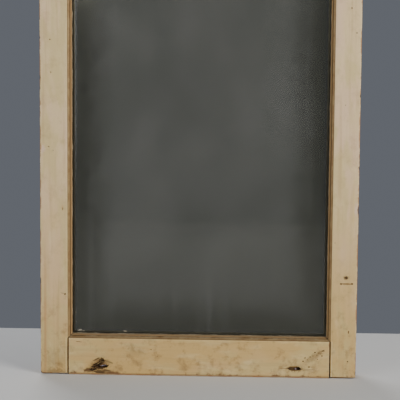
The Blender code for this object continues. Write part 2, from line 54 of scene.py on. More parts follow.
PANE_LOW, PANE_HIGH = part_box("glass_pane")
PUTTY_LOW, PUTTY_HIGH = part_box("putty_hanging_side")
LEFT = HANGING_LOW.x
RIGHT = CLOSING_HIGH.x
FACE = HANGING_LOW.y
BACK = HANGING_HIGH.y
STILE_FOOT = HANGING_LOW.z
STILE_HEAD = HANGING_HIGH.z
SIGHT_LEFT = HANGING_HIGH.x
SIGHT_RIGHT = CLOSING_LOW.x
SIGHT_BOTTOM = BOTTOM_HIGH.z
SIGHT_TOP = TOP_LOW.z
REBATE_LEFT = BED_LOW.x - FIT
REBATE_RIGHT = BED_HIGH.x + FIT
REBATE_BOTTOM = BED_LOW.z - FIT
REBATE_TOP = BED_HIGH.z + FIT
SEAT = BED_LOW.y - FIT

# Joinery and moulding
STICKING = SIGHT_LEFT - REBATE_LEFT
QUIRK = 0.001
FILLET = 0.0013
OVOLO_STEPS = 9
BOTTOM_GAP = 0.001  # open shoulder of the loosened bottom rail
TOP_GAP = 0.0004
HAUNCH = 0.009
OVERLAP = 0.002
OVERSHOOT = 0.001
ARRIS = 0.0007
SLICE = 0.004
TINY = 1e-5
SHY = 0.00004  # keeps a cutter's middle ring just off the face
LEAF_THICKNESS = 0.0018
HOLE = 0.0021  # radius of the holes for nails and screws
CLEAR = 0.02  # keeps the wear of the outer arrises off the moulding

CAMERA_PLACE = (0.06005, -1.55625, 0.386)
CAMERA_TURN = 2.08
CAMERA_TILT = -4.1
CAMERA_ROLL = -0.43
CAMERA_LENS = 90.0


# ---------------------------------------------------------------- modelling helpers


def take_up(*pieces):
    """Leaves only these pieces selected, the first one active."""
    if bpy.context.object and bpy.context.object.mode != "OBJECT":
        bpy.ops.object.mode_set(mode="OBJECT")
    bpy.ops.object.select_all(action="DESELECT")
    for piece in pieces:
        piece.select_set(True)
    bpy.context.view_layer.objects.active = pieces[0]


def nothing_selected():
    bpy.ops.object.select_all(action="DESELECT")


def label(piece, name):
    piece.name = name
    piece.data.name = name
    return piece


def dress(piece, *materials):
    """Gives the piece these materials and no others."""
    piece.data.materials.clear()
    for material in materials:
        piece.data.materials.append(material)


def open_up(piece):
    """Into edit mode, with the whole mesh chosen."""
    take_up(piece)
    bpy.ops.object.mode_set(mode="EDIT")
    bpy.ops.mesh.select_all(action="SELECT")


def set_down(piece, name):
    """Back to object mode, with the place, turn and size worked into the mesh."""
    if bpy.context.object.mode != "OBJECT":
        bpy.ops.object.mode_set(mode="OBJECT")
    take_up(piece)
    bpy.ops.object.transform_apply(location=True, rotation=True, scale=True)
    return label(piece, name)


def block(name, low, high):
    """A squared block between two opposite corners."""
    low = Vector(low)
    high = Vector(high)
    nothing_selected()
    bpy.ops.mesh.primitive_cube_add(size=1, location=(low + high) / 2, scale=high - low)
    return set_down(bpy.context.object, name)


def dowel(name, radius, start, end, sides=24):
    """A round bar between two points."""
    start = Vector(start)
    end = Vector(end)
    turn = (end - start).to_track_quat("Z", "Y").to_euler()
    nothing_selected()
    bpy.ops.mesh.primitive_cylinder_add(
        vertices=sides, radius=radius, depth=(end - start).length, location=(start + end) / 2, rotation=turn
    )
    return set_down(bpy.context.object, name)


def run_out(name, outline, along):
    """Traces an outline from point to point, fills it, and pulls it out along a vector."""
    points = [Vector(point) for point in outline]
    nothing_selected()
    bpy.ops.mesh.primitive_plane_add(size=0.001, location=points[0])
    piece = bpy.context.object
    bpy.ops.object.mode_set(mode="EDIT")
    bpy.ops.mesh.merge(type="CENTER")
    for here, there in zip(points, points[1:]):
        bpy.ops.mesh.extrude_vertices_move(TRANSFORM_OT_translate={"value": there - here})
    bpy.ops.mesh.select_all(action="SELECT")
    bpy.ops.mesh.edge_face_add()
    bpy.ops.mesh.extrude_region_move(TRANSFORM_OT_translate={"value": Vector(along)})
    bpy.ops.mesh.select_all(action="SELECT")
    bpy.ops.mesh.normals_make_consistent(inside=False)
    return set_down(piece, name)


def saw_off(piece, point, outward):
    """Cuts away what lies beyond a plane, and closes the end."""
    open_up(piece)
    bpy.ops.mesh.bisect(plane_co=point, plane_no=outward, use_fill=True, clear_outer=True, threshold=1e-6)
    bpy.ops.object.mode_set(mode="OBJECT")


def slice_across(piece, axis, places):
    """Adds a ring of edges at each place along an axis."""
    take_up(piece)
    bpy.ops.object.mode_set(mode="EDIT")
    normal = Vector((0, 0, 0))
    normal[axis] = 1
    for place in places:
        bpy.ops.mesh.select_all(action="SELECT")
        bpy.ops.mesh.bisect(plane_co=normal * place, plane_no=normal, threshold=1e-6)
    bpy.ops.object.mode_set(mode="OBJECT")


def steps_between(low, high, step):
    """Evenly spaced places inside a length."""
    count = max(2, round((high - low) / step))
    return [low + (high - low) * index / count for index in range(1, count)]


def ease_edges(piece, chosen, width, segments):
    """Rounds over the edges whose two ends pass a test."""
    take_up(piece)
    bpy.ops.object.mode_set(mode="EDIT")
    bpy.ops.mesh.select_mode(type="EDGE")
    bpy.ops.mesh.select_all(action="DESELECT")
    shape = bmesh.from_edit_mesh(piece.data)
    for edge in shape.edges:
        if chosen(edge.verts[0].co, edge.verts[1].co):
            edge.select = True
    bmesh.update_edit_mesh(piece.data)
    bpy.ops.mesh.bevel(offset=width, segments=segments, profile=0.5, affect="EDGES", clamp_overlap=True)
    bpy.ops.mesh.select_mode(type="VERT")
    bpy.ops.object.mode_set(mode="OBJECT")


def combine(piece, tool, operation):
    """Joins a tool on or cuts it out, and uses it up."""
    take_up(piece)
    step = piece.modifiers.new("Joinery", "BOOLEAN")
    step.operation = operation
    step.solver = "EXACT"
    step.material_mode = "TRANSFER"
    step.object = tool
    bpy.ops.object.modifier_apply(modifier=step.name)
    bpy.data.objects.remove(tool)


def cut(piece, tool, laid_bare=None):
    """Cuts a tool out; the new faces show the given bare wood."""
    dress(tool, laid_bare or RAW_WOOD)
    combine(piece, tool, "DIFFERENCE")


def fix_on(piece, tool):
    combine(piece, tool, "UNION")


def gather(pieces):
    """Makes one mesh of several loose ones."""
    take_up(*pieces)
    if len(pieces) > 1:
        bpy.ops.object.join()
    return bpy.context.object


def warp(piece, strength, size, push):
    """Uneven hand-planed surfaces: the same slow waves through every piece."""
    waves = bpy.data.textures.get(f"waves_{size}")
    if not waves:
        waves = bpy.data.textures.new(f"waves_{size}", "CLOUDS")
        waves.noise_scale = size
        waves.noise_depth = 2
    take_up(piece)
    step = piece.modifiers.new("Waves", "DISPLACE")
    step.texture = waves
    step.texture_coords = "GLOBAL"
    step.direction = "Y"
    step.strength = strength
    step.mid_level = push
    bpy.ops.object.modifier_apply(modifier=step.name)


def shade(piece, angle=35):
    take_up(piece)
    bpy.ops.object.shade_smooth_by_angle(angle=math.radians(angle))
    return piece


def lump(name, centre, half_size, tilt, roughness, seed, detail):
    """An uneven lump, drawn out along its own X as torn fibres are."""
    nothing_selected()
    bpy.ops.mesh.primitive_ico_sphere_add(
        subdivisions=detail, radius=1, location=centre, scale=half_size, rotation=(0, tilt, 0)
    )
    piece = set_down(bpy.context.object, name)
    middle = Vector(centre)
    turned = Matrix.Rotation(-tilt, 3, "Y")
    for vertex in piece.data.vertices:
        out = vertex.co - middle
        local = turned @ out
        unit = Vector([local[i] / half_size[i] for i in range(3)])
        place = Vector((unit.x * 1.3, unit.y * 3.0, unit.z * 4.0))
        swell = noise.noise(place + Vector((seed * 7.3, seed * 3.1, seed * 5.7)))
        swell += 0.5 * noise.noise(place * 2.3 + Vector((seed * 1.3, 0, seed)))
        vertex.co = middle + out * (1 + roughness * swell)
    return piece


def clean(piece):
    """Merges doubles, dissolves slivers, closes pinholes, and drops chips that a cut left loose."""
    open_up(piece)
    bpy.ops.mesh.remove_doubles(threshold=2e-6)
    bpy.ops.mesh.dissolve_degenerate(threshold=2e-6)
    bpy.ops.mesh.select_all(action="SELECT")
    bpy.ops.mesh.fill_holes(sides=0)
    bpy.ops.object.mode_set(mode="OBJECT")
    shape = bmesh.new()
    shape.from_mesh(piece.data)
    shape.verts.ensure_lookup_table()
    unseen = set(range(len(shape.verts)))
    islands = []
    while unseen:
        start = min(unseen)
        unseen.discard(start)
        island = [start]
        for index in island:
            for edge in shape.verts[index].link_edges:
                other = edge.other_vert(shape.verts[index]).index
                if other in unseen:
                    unseen.discard(other)
                    island.append(other)
        islands.append(island)
    islands.sort(key=len)
    chips_left = [shape.verts[index] for island in islands[:-1] for index in island]
    bmesh.ops.delete(shape, geom=chips_left, context="VERTS")
    shape.to_mesh(piece.data)
    shape.free()


def on_sash(piece, slot, *nodes):
    """The piece swings with the sash and stands for these frame nodes."""
    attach(piece, "sash")
    if nodes:
        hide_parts(*nodes)
    return piece


# ---------------------------------------------------------------- material helpers


def rgb(red, green, blue):
    """A colour given as 0 to 255 steps on a screen, as light."""

    def linear(step):
        value = step / 255
        return value / 12.92 if value <= 0.04045 else ((value + 0.055) / 1.055) ** 2.4

    return (linear(red), linear(green), linear(blue), 1.0)


def drawn_out(along, share):
    """Scales that draw a pattern out along one axis."""
    return [share if axis == along else 1.0 for axis in range(3)]


class Mix:
    """Puts nodes into one tree, all of them working from one place on the object."""

    def __init__(self, tree, place=None):
        self.tree = tree
        self.place = self.put("ShaderNodeTexCoord").outputs["Object"] if place is None else place

    def fill(self, node, inputs):
        """Fills a node's inputs with values or with other nodes' outputs."""
        for key, value in inputs.items():
            if isinstance(value, bpy.types.NodeSocket):
                self.tree.links.new(value, node.inputs[key])
            else:
                node.inputs[key].default_value = value

    def put(self, kind, inputs=None, **settings):
        """Adds a node, sets it and fills its inputs."""
        node = self.tree.nodes.new(kind)
        for key, value in settings.items():
            setattr(node, key, value)
        self.fill(node, inputs or {})
        return node

    def math(self, operation, *values, clamp=False):
        """One step of arithmetic."""
        inputs = dict(enumerate(values))
        return self.put("ShaderNodeMath", inputs, operation=operation, use_clamp=clamp).outputs[0]

    def times(self, first, second):
        return self.math("MULTIPLY", first, second)

    def plus(self, first, second, clamp=False):
        return self.math("ADD", first, second, clamp=clamp)

    def minus(self, first, second):
        return self.math("SUBTRACT", first, second)

    def scaled(self, value, factor, offset, clamp=False):
        """A value times a factor, plus an offset."""
        return self.math("MULTIPLY_ADD", value, factor, offset, clamp=clamp)

    def apart(self, first, second):
        """How far apart two values are."""
        return self.math("ABSOLUTE", self.minus(first, second))

    def ramp(self, value, low, high):
        """0 below low, 1 above high and smooth between; low may be the larger."""
        inputs = {"Value": value, "From Min": low, "From Max": high}
        return self.put("ShaderNodeMapRange", inputs, interpolation_type="SMOOTHSTEP").outputs["Result"]

    def line(self, value, centre, outer, inner):
        """1 along a line, fading out to both sides of it."""
        return self.ramp(self.apart(value, centre), outer, inner)

    def lay(self, under, over, share, strength=None):
        """Lays one colour over another, by a share and a strength."""
        if strength is not None:
            share = self.times(share, strength)
        return self.put("ShaderNodeMix", {0: share, 6: under, 7: over}, data_type="RGBA").outputs[2]

    def vector(self, operation, first, second):
        return self.put("ShaderNodeVectorMath", {0: first, 1: second}, operation=operation).outputs[0]

    def split(self, vector):
        """The X, Y and Z of a vector."""
        return self.put("ShaderNodeSeparateXYZ", {0: vector}).outputs

    def cloud(self, scale, detail=3.0, roughness=0.5, stretch=None, distortion=0.0):
        """Noise, drawn out where stretch gives one scale for each axis."""
        place = self.place
        if stretch:
            place = self.put("ShaderNodeMapping", {"Vector": place, "Scale": stretch}).outputs[0]
        inputs = {"Vector": place, "Scale": scale, "Detail": detail}
        inputs |= {"Roughness": roughness, "Distortion": distortion}
        return self.put("ShaderNodeTexNoise", inputs).outputs["Fac"]

    def use(self, group, **inputs):
        """Puts in a shared effect."""
        return self.put("ShaderNodeGroup", {"Place": self.place, **inputs}, node_tree=group).outputs

    def bump(self, shader, height, distance, strength):
        """Raises the surface."""
        inputs = {"Height": height, "Distance": distance, "Strength": strength}
        self.fill(shader, {"Normal": self.put("ShaderNodeBump", inputs).outputs["Normal"]})


def new_group(name, outputs, **inputs):
    """A shared effect: it takes the place and some values, and gives masks, values or a colour."""
    group = bpy.data.node_groups.new(name, "ShaderNodeTree")
    for socket_name, value in {"Place": (0, 0, 0), **inputs}.items():
        kind = "NodeSocketVector" if isinstance(value, tuple) else "NodeSocketFloat"
        socket = group.interface.new_socket(name=socket_name, in_out="INPUT", socket_type=kind)
        socket.default_value = value
    for socket_name in outputs:
        kind = "NodeSocketColor" if socket_name == "Colour" else "NodeSocketFloat"
        group.interface.new_socket(name=socket_name, in_out="OUTPUT", socket_type=kind)
    entry = group.nodes.new("NodeGroupInput").outputs
    result = group.nodes.new("NodeGroupOutput")
    mix = Mix(group, entry["Place"])

    def give(**results):
        mix.fill(result, results)
        return group

    return mix, entry, give


def arris_wear_group():
    """Finds the worn arrises of a box: where two pairs of its faces are both near."""
    mix, entry, give = new_group(
        "arris_wear", ("Wear", "Distance"), Low=(0, 0, 0), High=(1, 1, 1), Reach=0.001, Patchiness=0.5
    )
    above = mix.vector("SUBTRACT", mix.place, entry["Low"])
    below = mix.vector("SUBTRACT", entry["High"], mix.place)
    x, y, z = mix.split(mix.vector("MINIMUM", above, below))
    # the middle one of the three distances is the distance to the nearest edge
    small = mix.math("MINIMUM", x, y)
    large = mix.math("MAXIMUM", x, y)
    middle = mix.math("MAXIMUM", small, mix.math("MINIMUM", large, z))
    patches = mix.times(mix.cloud(55, 4, 0.6), 0.75)
    share = mix.plus(patches, mix.times(mix.cloud(420, 3, 0.6), 0.25))
    patchiness = entry["Patchiness"]
    lively = mix.ramp(share, mix.minus(patchiness, 0.12), mix.plus(patchiness, 0.12))
    reach = mix.times(entry["Reach"], mix.plus(lively, 0.12))
    return give(Wear=mix.ramp(middle, reach, mix.times(reach, 0.35)), Distance=middle)


def grain_group():
    """Long fine lines and slow figure, running along whichever axis Stretch makes short."""
    mix, entry, give = new_group("wood_grain", ("Lines", "Figure"), Stretch=(1, 1, 0.03))
    mix.place = mix.vector("MULTIPLY", mix.place, entry["Stretch"])
    return give(Lines=mix.cloud(900, 3, 0.65), Figure=mix.cloud(160, 3, 0.55, distortion=0.6))


def speck_group():
    """Scattered small spots, such as fly specks and pinholes in old paint."""
    mix, entry, give = new_group("specks", ("Specks",), Scale=120.0, Size=0.12, Share=0.2)
    cells = mix.put("ShaderNodeTexVoronoi", {"Vector": mix.place, "Scale": entry["Scale"]}).outputs
    chosen = mix.put("ShaderNodeSeparateColor", {0: cells["Color"]}).outputs[0]
    here = mix.math("LESS_THAN", chosen, entry["Share"])
    dot = mix.ramp(cells["Distance"], entry["Size"], mix.times(entry["Size"], 0.5))
    return give(Specks=mix.times(dot, here))


def opening_group():
    """How far out from the glass a point lies, in metres: 0 at the sight line, more over the wood."""
    mix, entry, give = new_group("from_sight_line", ("Inset",), Low=(0, 0, 0), High=(1, 1, 1))
    below = mix.vector("SUBTRACT", entry["Low"], mix.place)
    above = mix.vector("SUBTRACT", mix.place, entry["High"])
    x, _, z = mix.split(mix.vector("MAXIMUM", below, above))
    return give(Inset=mix.math("MAXIMUM", x, z))


def open_joint_group():
    """Dirt in and beside the open shoulders, and the ridge of paint that stands next to them."""
    mix, _, give = new_group("open_joints", ("Grime", "Ridge"))
    x, _, z = mix.split(mix.place)
    middle = (REBATE_LEFT + REBATE_RIGHT) / 2
    half = (REBATE_RIGHT - REBATE_LEFT - BOTTOM_GAP) / 2
    across = mix.minus(mix.apart(x, middle), half)
    waver = mix.scaled(mix.cloud(140, 3, 0.6), 0.0012, -0.0006)
    grime = mix.ramp(mix.plus(mix.math("ABSOLUTE", across), waver), 0.0015, 0.0007)
    below = mix.ramp(z, REBATE_BOTTOM + 0.0006, REBATE_BOTTOM - 0.0002)
    above = mix.ramp(z, REBATE_TOP - 0.0006, REBATE_TOP + 0.0002)
    at_rail = mix.math("MAXIMUM", below, above)
    ridge = mix.line(across, 0.0030, 0.0010, 0.0003)
    return give(Grime=mix.times(grime, at_rail), Ridge=mix.times(ridge, at_rail))


def dust_group():
    """Dust and dirt that settle on what faces up."""
    mix, entry, give = new_group("settled_dust", ("Dust",), Amount=0.5)
    level = mix.ramp(mix.split(mix.put("ShaderNodeNewGeometry").outputs["Normal"])[2], 0.3, 0.95)
    patches = mix.ramp(mix.cloud(90, 4, 0.6), 0.3, 0.62)
    return give(Dust=mix.times(mix.times(level, patches), entry["Amount"]))


def rust_group():
    """Brown and orange rust with dark scale."""
    mix, entry, give = new_group("rust", ("Colour", "Scaling", "Height"), Scale=300.0)
    broad = mix.cloud(entry["Scale"], 5, 0.65)
    fine = mix.cloud(mix.times(entry["Scale"], 4.3), 4, 0.7)
    scaling = mix.ramp(broad, 0.42, 0.62)
    colour = mix.lay(RUST_DARK, RUST_BROWN, scaling)
    colour = mix.lay(colour, RUST_ORANGE, mix.ramp(fine, 0.55, 0.75), scaling)
    height = mix.plus(mix.times(broad, 0.7), mix.times(fine, 0.3))
    return give(Colour=colour, Scaling=scaling, Height=height)


# ---------------------------------------------------------------- colours

PAINT_LOW = rgb(202, 168, 106)
PAINT_HIGH = rgb(220, 195, 149)
PAINT_PINK = rgb(222, 190, 160)
PAINT_GREEN = rgb(203, 183, 127)
PAINT_STREAK = rgb(172, 138, 88)
PAINT_DIRT = rgb(146, 114, 70)
PAINT_PALE = rgb(230, 208, 160)
PAINT_CHALKY = rgb(196, 184, 156)
WEATHERED_DARK = rgb(104, 84, 60)
WEATHERED_LIGHT = rgb(150, 130, 102)
TENON_DARK = rgb(84, 62, 40)
TENON_LIGHT = rgb(146, 116, 78)
# the moulding's tones: grime with painted shade on the ovolo, and painted light on the fillet
MOULDING_TONES = (rgb(140, 109, 68), rgb(160, 133, 89), rgb(180, 144, 98))
WORN_ORANGE = rgb(158, 106, 58)
RUBBED_ORANGE = rgb(176, 124, 78)
FOOT_BROWN = rgb(100, 62, 38)
STAIN_BROWN = rgb(108, 78, 44)
STAIN_ROSY = rgb(224, 196, 178)
STAIN_ORANGE = rgb(196, 146, 92)
STAIN_YELLOW = rgb(214, 186, 120)
SPECK_BROWN = rgb(96, 72, 46)
FLECK_BROWN = rgb(112, 86, 56)
# dark brown painted into the moulding's creases: painted shade with dirt
CREASE_SHADE_AND_DIRT = rgb(72, 50, 26)
JOINT_DIRT = rgb(58, 40, 22)
WOOD_DIRT = rgb(52, 40, 28)
DUST_GREY = rgb(150, 134, 104)
PUTTY_PALE = rgb(176, 164, 140)
PUTTY_DIRT = rgb(84, 74, 58)
PUTTY_CRACK = rgb(52, 44, 34)
PUTTY_SHADOW = rgb(26, 25, 20)
GLASS_CLEAR = rgb(158, 158, 146)
GLASS_CLOUDY = rgb(172, 171, 160)
GLASS_BORDER = rgb(104, 104, 88)
GLASS_GRIME = rgb(82, 82, 70)
GLASS_DUST = rgb(206, 204, 192)
GLASS_VEIL = rgb(142, 134, 140)
GLASS_STRIP = rgb(112, 107, 84)
RUST_DARK = rgb(66, 54, 46)
RUST_BROWN = rgb(92, 64, 46)
RUST_ORANGE = rgb(126, 80, 48)
BRIGHT_STEEL = rgb(150, 143, 156)

ARRIS_WEAR = arris_wear_group()
WOOD_GRAIN = grain_group()
SPECKS = speck_group()
FROM_SIGHT_LINE = opening_group()
OPEN_JOINTS = open_joint_group()
SETTLED_DUST = dust_group()
RUST = rust_group()

# ---------------------------------------------------------------- materials


def new_material(name):
    """A material, with what puts nodes into it and its shader."""
    material = bpy.data.materials.new(name)
    material.use_nodes = True
    return material, Mix(material.node_tree), material.node_tree.nodes["Principled BSDF"]


def from_sight_line(mix):
    """How far out from the sight line: less than 0 over the pane."""
    corners = {"Low": (SIGHT_LEFT, 0, SIGHT_BOTTOM), "High": (SIGHT_RIGHT, 0, SIGHT_TOP)}
    return mix.use(FROM_SIGHT_LINE, **corners)["Inset"]


def raw_wood(name, light, dark, along, roughness=0.8):
    """Bare softwood, its grain along X, Y or Z."""
    material, mix, shader = new_material(name)
    grain = mix.use(WOOD_GRAIN, Stretch=drawn_out(along, 0.04))
    colour = mix.lay(dark, light, mix.ramp(grain["Figure"], 0.35, 0.65))
    colour = mix.lay(colour, dark, mix.ramp(grain["Lines"], 0.42, 0.62), 0.45)
    colour = mix.lay(colour, WOOD_DIRT, mix.ramp(mix.cloud(260, 4, 0.6), 0.45, 0.7), 0.6)
    mix.fill(shader, {"Base Color": colour, "Roughness": roughness, "Specular IOR Level": 0.25})
    height = mix.plus(mix.times(grain["Lines"], 0.7), mix.times(grain["Figure"], 0.3))
    mix.bump(shader, height, 0.0006, 0.8)
    return material


def cream_paint(name, low, high, along, moulding_tone=1.0, stains=()):
    """Old cream oil paint on one member of the sash, with its worn arrises, and a moulding browned by grime
    and painted shade, with painted light on its arris and fillet.

    Each stain is its (x, z), half its (width, height), its turn, its strength and its colour."""
    material, mix, shader = new_material(name)
    x, y, z = mix.split(mix.place)
    grain = mix.use(WOOD_GRAIN, Stretch=drawn_out(along, 0.035))
    slow = drawn_out(along, 0.35)
    # ground coat, warmer and darker towards the foot: yellowed paint with painted shade where the light falls
    # off downward, and dirtier there too
    rise = mix.ramp(z, -0.02, 0.42)
    colour = mix.lay(PAINT_LOW, PAINT_HIGH, rise)
    pink = mix.ramp(mix.cloud(26, 4, 0.55, slow), 0.42, 0.66)
    colour = mix.lay(colour, PAINT_PINK, pink, mix.scaled(rise, 0.55, 0.15))
    green = mix.ramp(mix.cloud(30, 4, 0.6, slow, 0.4), 0.45, 0.60)
    colour = mix.lay(colour, PAINT_GREEN, green, 0.6)
    colour = mix.lay(colour, PAINT_STREAK, mix.ramp(grain["Figure"], 0.5, 0.72), 0.28)
    colour = mix.lay(colour, PAINT_STREAK, mix.ramp(grain["Lines"], 0.56, 0.72), 0.22)
    smudge = mix.ramp(mix.cloud(72, 6, 0.62), 0.48, 0.70)
    foot = mix.ramp(z, 0.16, 0.0)
    colour = mix.lay(colour, PAINT_DIRT, smudge, mix.scaled(foot, 0.50, 0.18))
    thin = mix.ramp(mix.cloud(62, 4, 0.6, slow), 0.52, 0.70)
    colour = mix.lay(colour, PAINT_PALE, thin, 0.30)
    lower_edge = mix.ramp(mix.scaled(smudge, -0.003, z), 0.0042, 0.0012)
    colour = mix.lay(colour, FOOT_BROWN, lower_edge, 0.8)
    # the outside face has chalked and flaked
    outside = mix.ramp(y, BACK - 0.0012, BACK - 0.0004)
    flaked = mix.times(mix.ramp(mix.cloud(75, 6, 0.68, slow), 0.585, 0.60), outside)
    weathered = mix.lay(WEATHERED_DARK, WEATHERED_LIGHT, grain["Figure"])
    colour = mix.lay(colour, PAINT_CHALKY, outside, 0.30)
    colour = mix.lay(colour, weathered, flaked)
    if along == X_AXIS:
        # a rail's tenons show bare end grain in the outer edges of the stiles
        middle = (LEFT + RIGHT) / 2
        ends = mix.ramp(mix.apart(x, middle), RIGHT - middle - 0.02, RIGHT - middle - 0.01)
        bare = mix.ramp(mix.cloud(130, 5, 0.65), 0.60, 0.56)
        pores = mix.lay(TENON_DARK, TENON_LIGHT, mix.cloud(1400, 3, 0.7))
        colour = mix.lay(colour, pores, ends, bare)
    for (across, up), (width, height), turn, strength, tint in stains:
        laid = mix.vector("SUBTRACT", mix.place, (across, FACE, up))
        laid = mix.put("ShaderNodeVectorRotate", {0: laid, "Angle": turn}, rotation_type="Y_AXIS").outputs[0]
        laid = mix.vector("MULTIPLY", laid, (1 / width, 1 / STAIN_DEPTH, 1 / height))
        reach = mix.put("ShaderNodeVectorMath", {0: laid}, operation="LENGTH").outputs["Value"]
        ragged = mix.scaled(mix.cloud(330, 4, 0.65), 1.5, -0.75)
        colour = mix.lay(colour, tint, mix.ramp(mix.plus(reach, ragged), 1.0, 0.25), strength)
    specks = mix.use(SPECKS, Scale=85.0, Size=0.085, Share=0.12)["Specks"]
    colour = mix.lay(colour, SPECK_BROWN, specks, 0.75)
    flecks = mix.use(SPECKS, Scale=260.0, Size=0.16, Share=0.07)["Specks"]
    colour = mix.lay(colour, FLECK_BROWN, flecks, mix.scaled(smudge, 0.5, 0.25))
    rubbed = mix.scaled(grain["Figure"], 0.002, mix.apart(x, LEFT + 0.0072))
    rubbed = mix.times(mix.ramp(rubbed, 0.0044, 0.0018), mix.ramp(z, 0.26, 0.10))
    colour = mix.lay(colour, RUBBED_ORANGE, rubbed, 0.45)
    # worn arrises show primer and wood
    wear = mix.use(ARRIS_WEAR, Low=low, High=high, Reach=0.0021, Patchiness=0.52)
    colour = mix.lay(colour, PAINT_PALE, mix.ramp(wear["Distance"], 0.0024, 0.0006), 0.35)
    colour = mix.lay(colour, WORN_ORANGE, wear["Wear"], 0.85)
    # the moulding: a painted highlight on the arris, an ovolo browned by grime and painted shade, and a tan
    # fillet painted lighter where it faces the light
    inset = from_sight_line(mix)
    moulded = mix.ramp(inset, STICKING + 0.0003, STICKING - 0.0003)
    moulded = mix.times(moulded, mix.ramp(y, SEAT + 0.0004, SEAT - 0.0004))
    fillet = mix.ramp(inset, FILLET + 0.0004, FILLET - 0.0002)
    uneven = mix.ramp(mix.cloud(60, 4, 0.6), 0.35, 0.65)
    toned = [[step * moulding_tone for step in shade_of[:3]] + [1.0] for shade_of in MOULDING_TONES]
    moulding_shade_and_grime = mix.lay(toned[0], toned[1], uneven)
    moulding_shade_and_grime = mix.lay(moulding_shade_and_grime, toned[2], fillet)
    # a pale line on the face beside the quirk: a painted highlight on the arris, over worn paint
    colour = mix.lay(colour, PAINT_PALE, mix.line(inset, STICKING + 0.0010, 0.0009, 0.0003), 0.18)
    colour = mix.lay(colour, moulding_shade_and_grime, moulded)
    # dark lines in the quirk and where the ovolo meets the fillet: painted shade in these creases, with dirt
    step_line = mix.line(inset, FILLET + 0.0004, 0.0008, 0.0002)
    quirk_line = mix.times(mix.line(inset, STICKING - 0.0004, 0.0005, 0.0001), 0.8)
    crease_shade_and_dirt = mix.times(moulded, mix.math("MAXIMUM", step_line, quirk_line))
    colour = mix.lay(colour, CREASE_SHADE_AND_DIRT, crease_shade_and_dirt, 0.75)
    seam = mix.use(OPEN_JOINTS)
    colour = mix.lay(colour, PAINT_PALE, seam["Ridge"], 0.45)
    colour = mix.lay(colour, JOINT_DIRT, seam["Grime"], 0.9)
    dust = mix.use(SETTLED_DUST, Amount=0.55)["Dust"]
    colour = mix.lay(colour, DUST_GREY, dust)
    rough = mix.plus(mix.scaled(smudge, 0.2, 0.5), mix.times(dust, 0.3), clamp=True)
    mix.fill(shader, {"Base Color": colour, "Roughness": rough, "Specular IOR Level": 0.3})
    height = mix.scaled(grain["Lines"], 0.35, mix.times(grain["Figure"], 0.4))
    for hollow, depth in ((wear["Wear"], 0.5), (specks, 0.3), (flaked, 0.6)):
        height = mix.minus(height, mix.times(hollow, depth))
    mix.bump(shader, height, 0.0004, 0.7)
    return material


def old_putty(name, base, cracked=1.0, dark_below=None):
    """Hard, cracked putty with paint and dirt on it."""
    material, mix, shader = new_material(name)
    colour = mix.lay(base, PUTTY_PALE, mix.ramp(mix.cloud(70, 5, 0.6), 0.35, 0.65))
    colour = mix.lay(colour, PUTTY_DIRT, mix.ramp(mix.cloud(210, 4, 0.6), 0.5, 0.72), 0.6)
    # the cracks wander, and open only here and there
    drift = mix.put("ShaderNodeTexNoise", {"Vector": mix.place, "Scale": 180.0, "Detail": 3.0})
    drift = mix.vector("MULTIPLY", drift.outputs["Color"], (0.008, 0.008, 0.008))
    inputs = {"Vector": mix.vector("ADD", mix.place, drift), "Scale": 62.0, "Randomness": 1.0}
    cells = mix.put("ShaderNodeTexVoronoi", inputs, feature="DISTANCE_TO_EDGE").outputs["Distance"]
    open_here = mix.ramp(mix.cloud(45, 3, 0.6), 0.42, 0.58)
    crack = mix.times(mix.ramp(cells, 0.030, 0.006), mix.times(open_here, cracked))
    colour = mix.lay(colour, PUTTY_CRACK, crack, 0.7)
    if dark_below:
        low, high = dark_below
        colour = mix.lay(colour, PUTTY_SHADOW, mix.ramp(mix.split(mix.place)[1], high, low))
    mix.fill(shader, {"Base Color": colour, "Roughness": 0.82, "Specular IOR Level": 0.2})
    mix.bump(shader, mix.minus(mix.times(mix.cloud(500, 4, 0.6), 0.5), crack), 0.0005, 0.8)
    return material


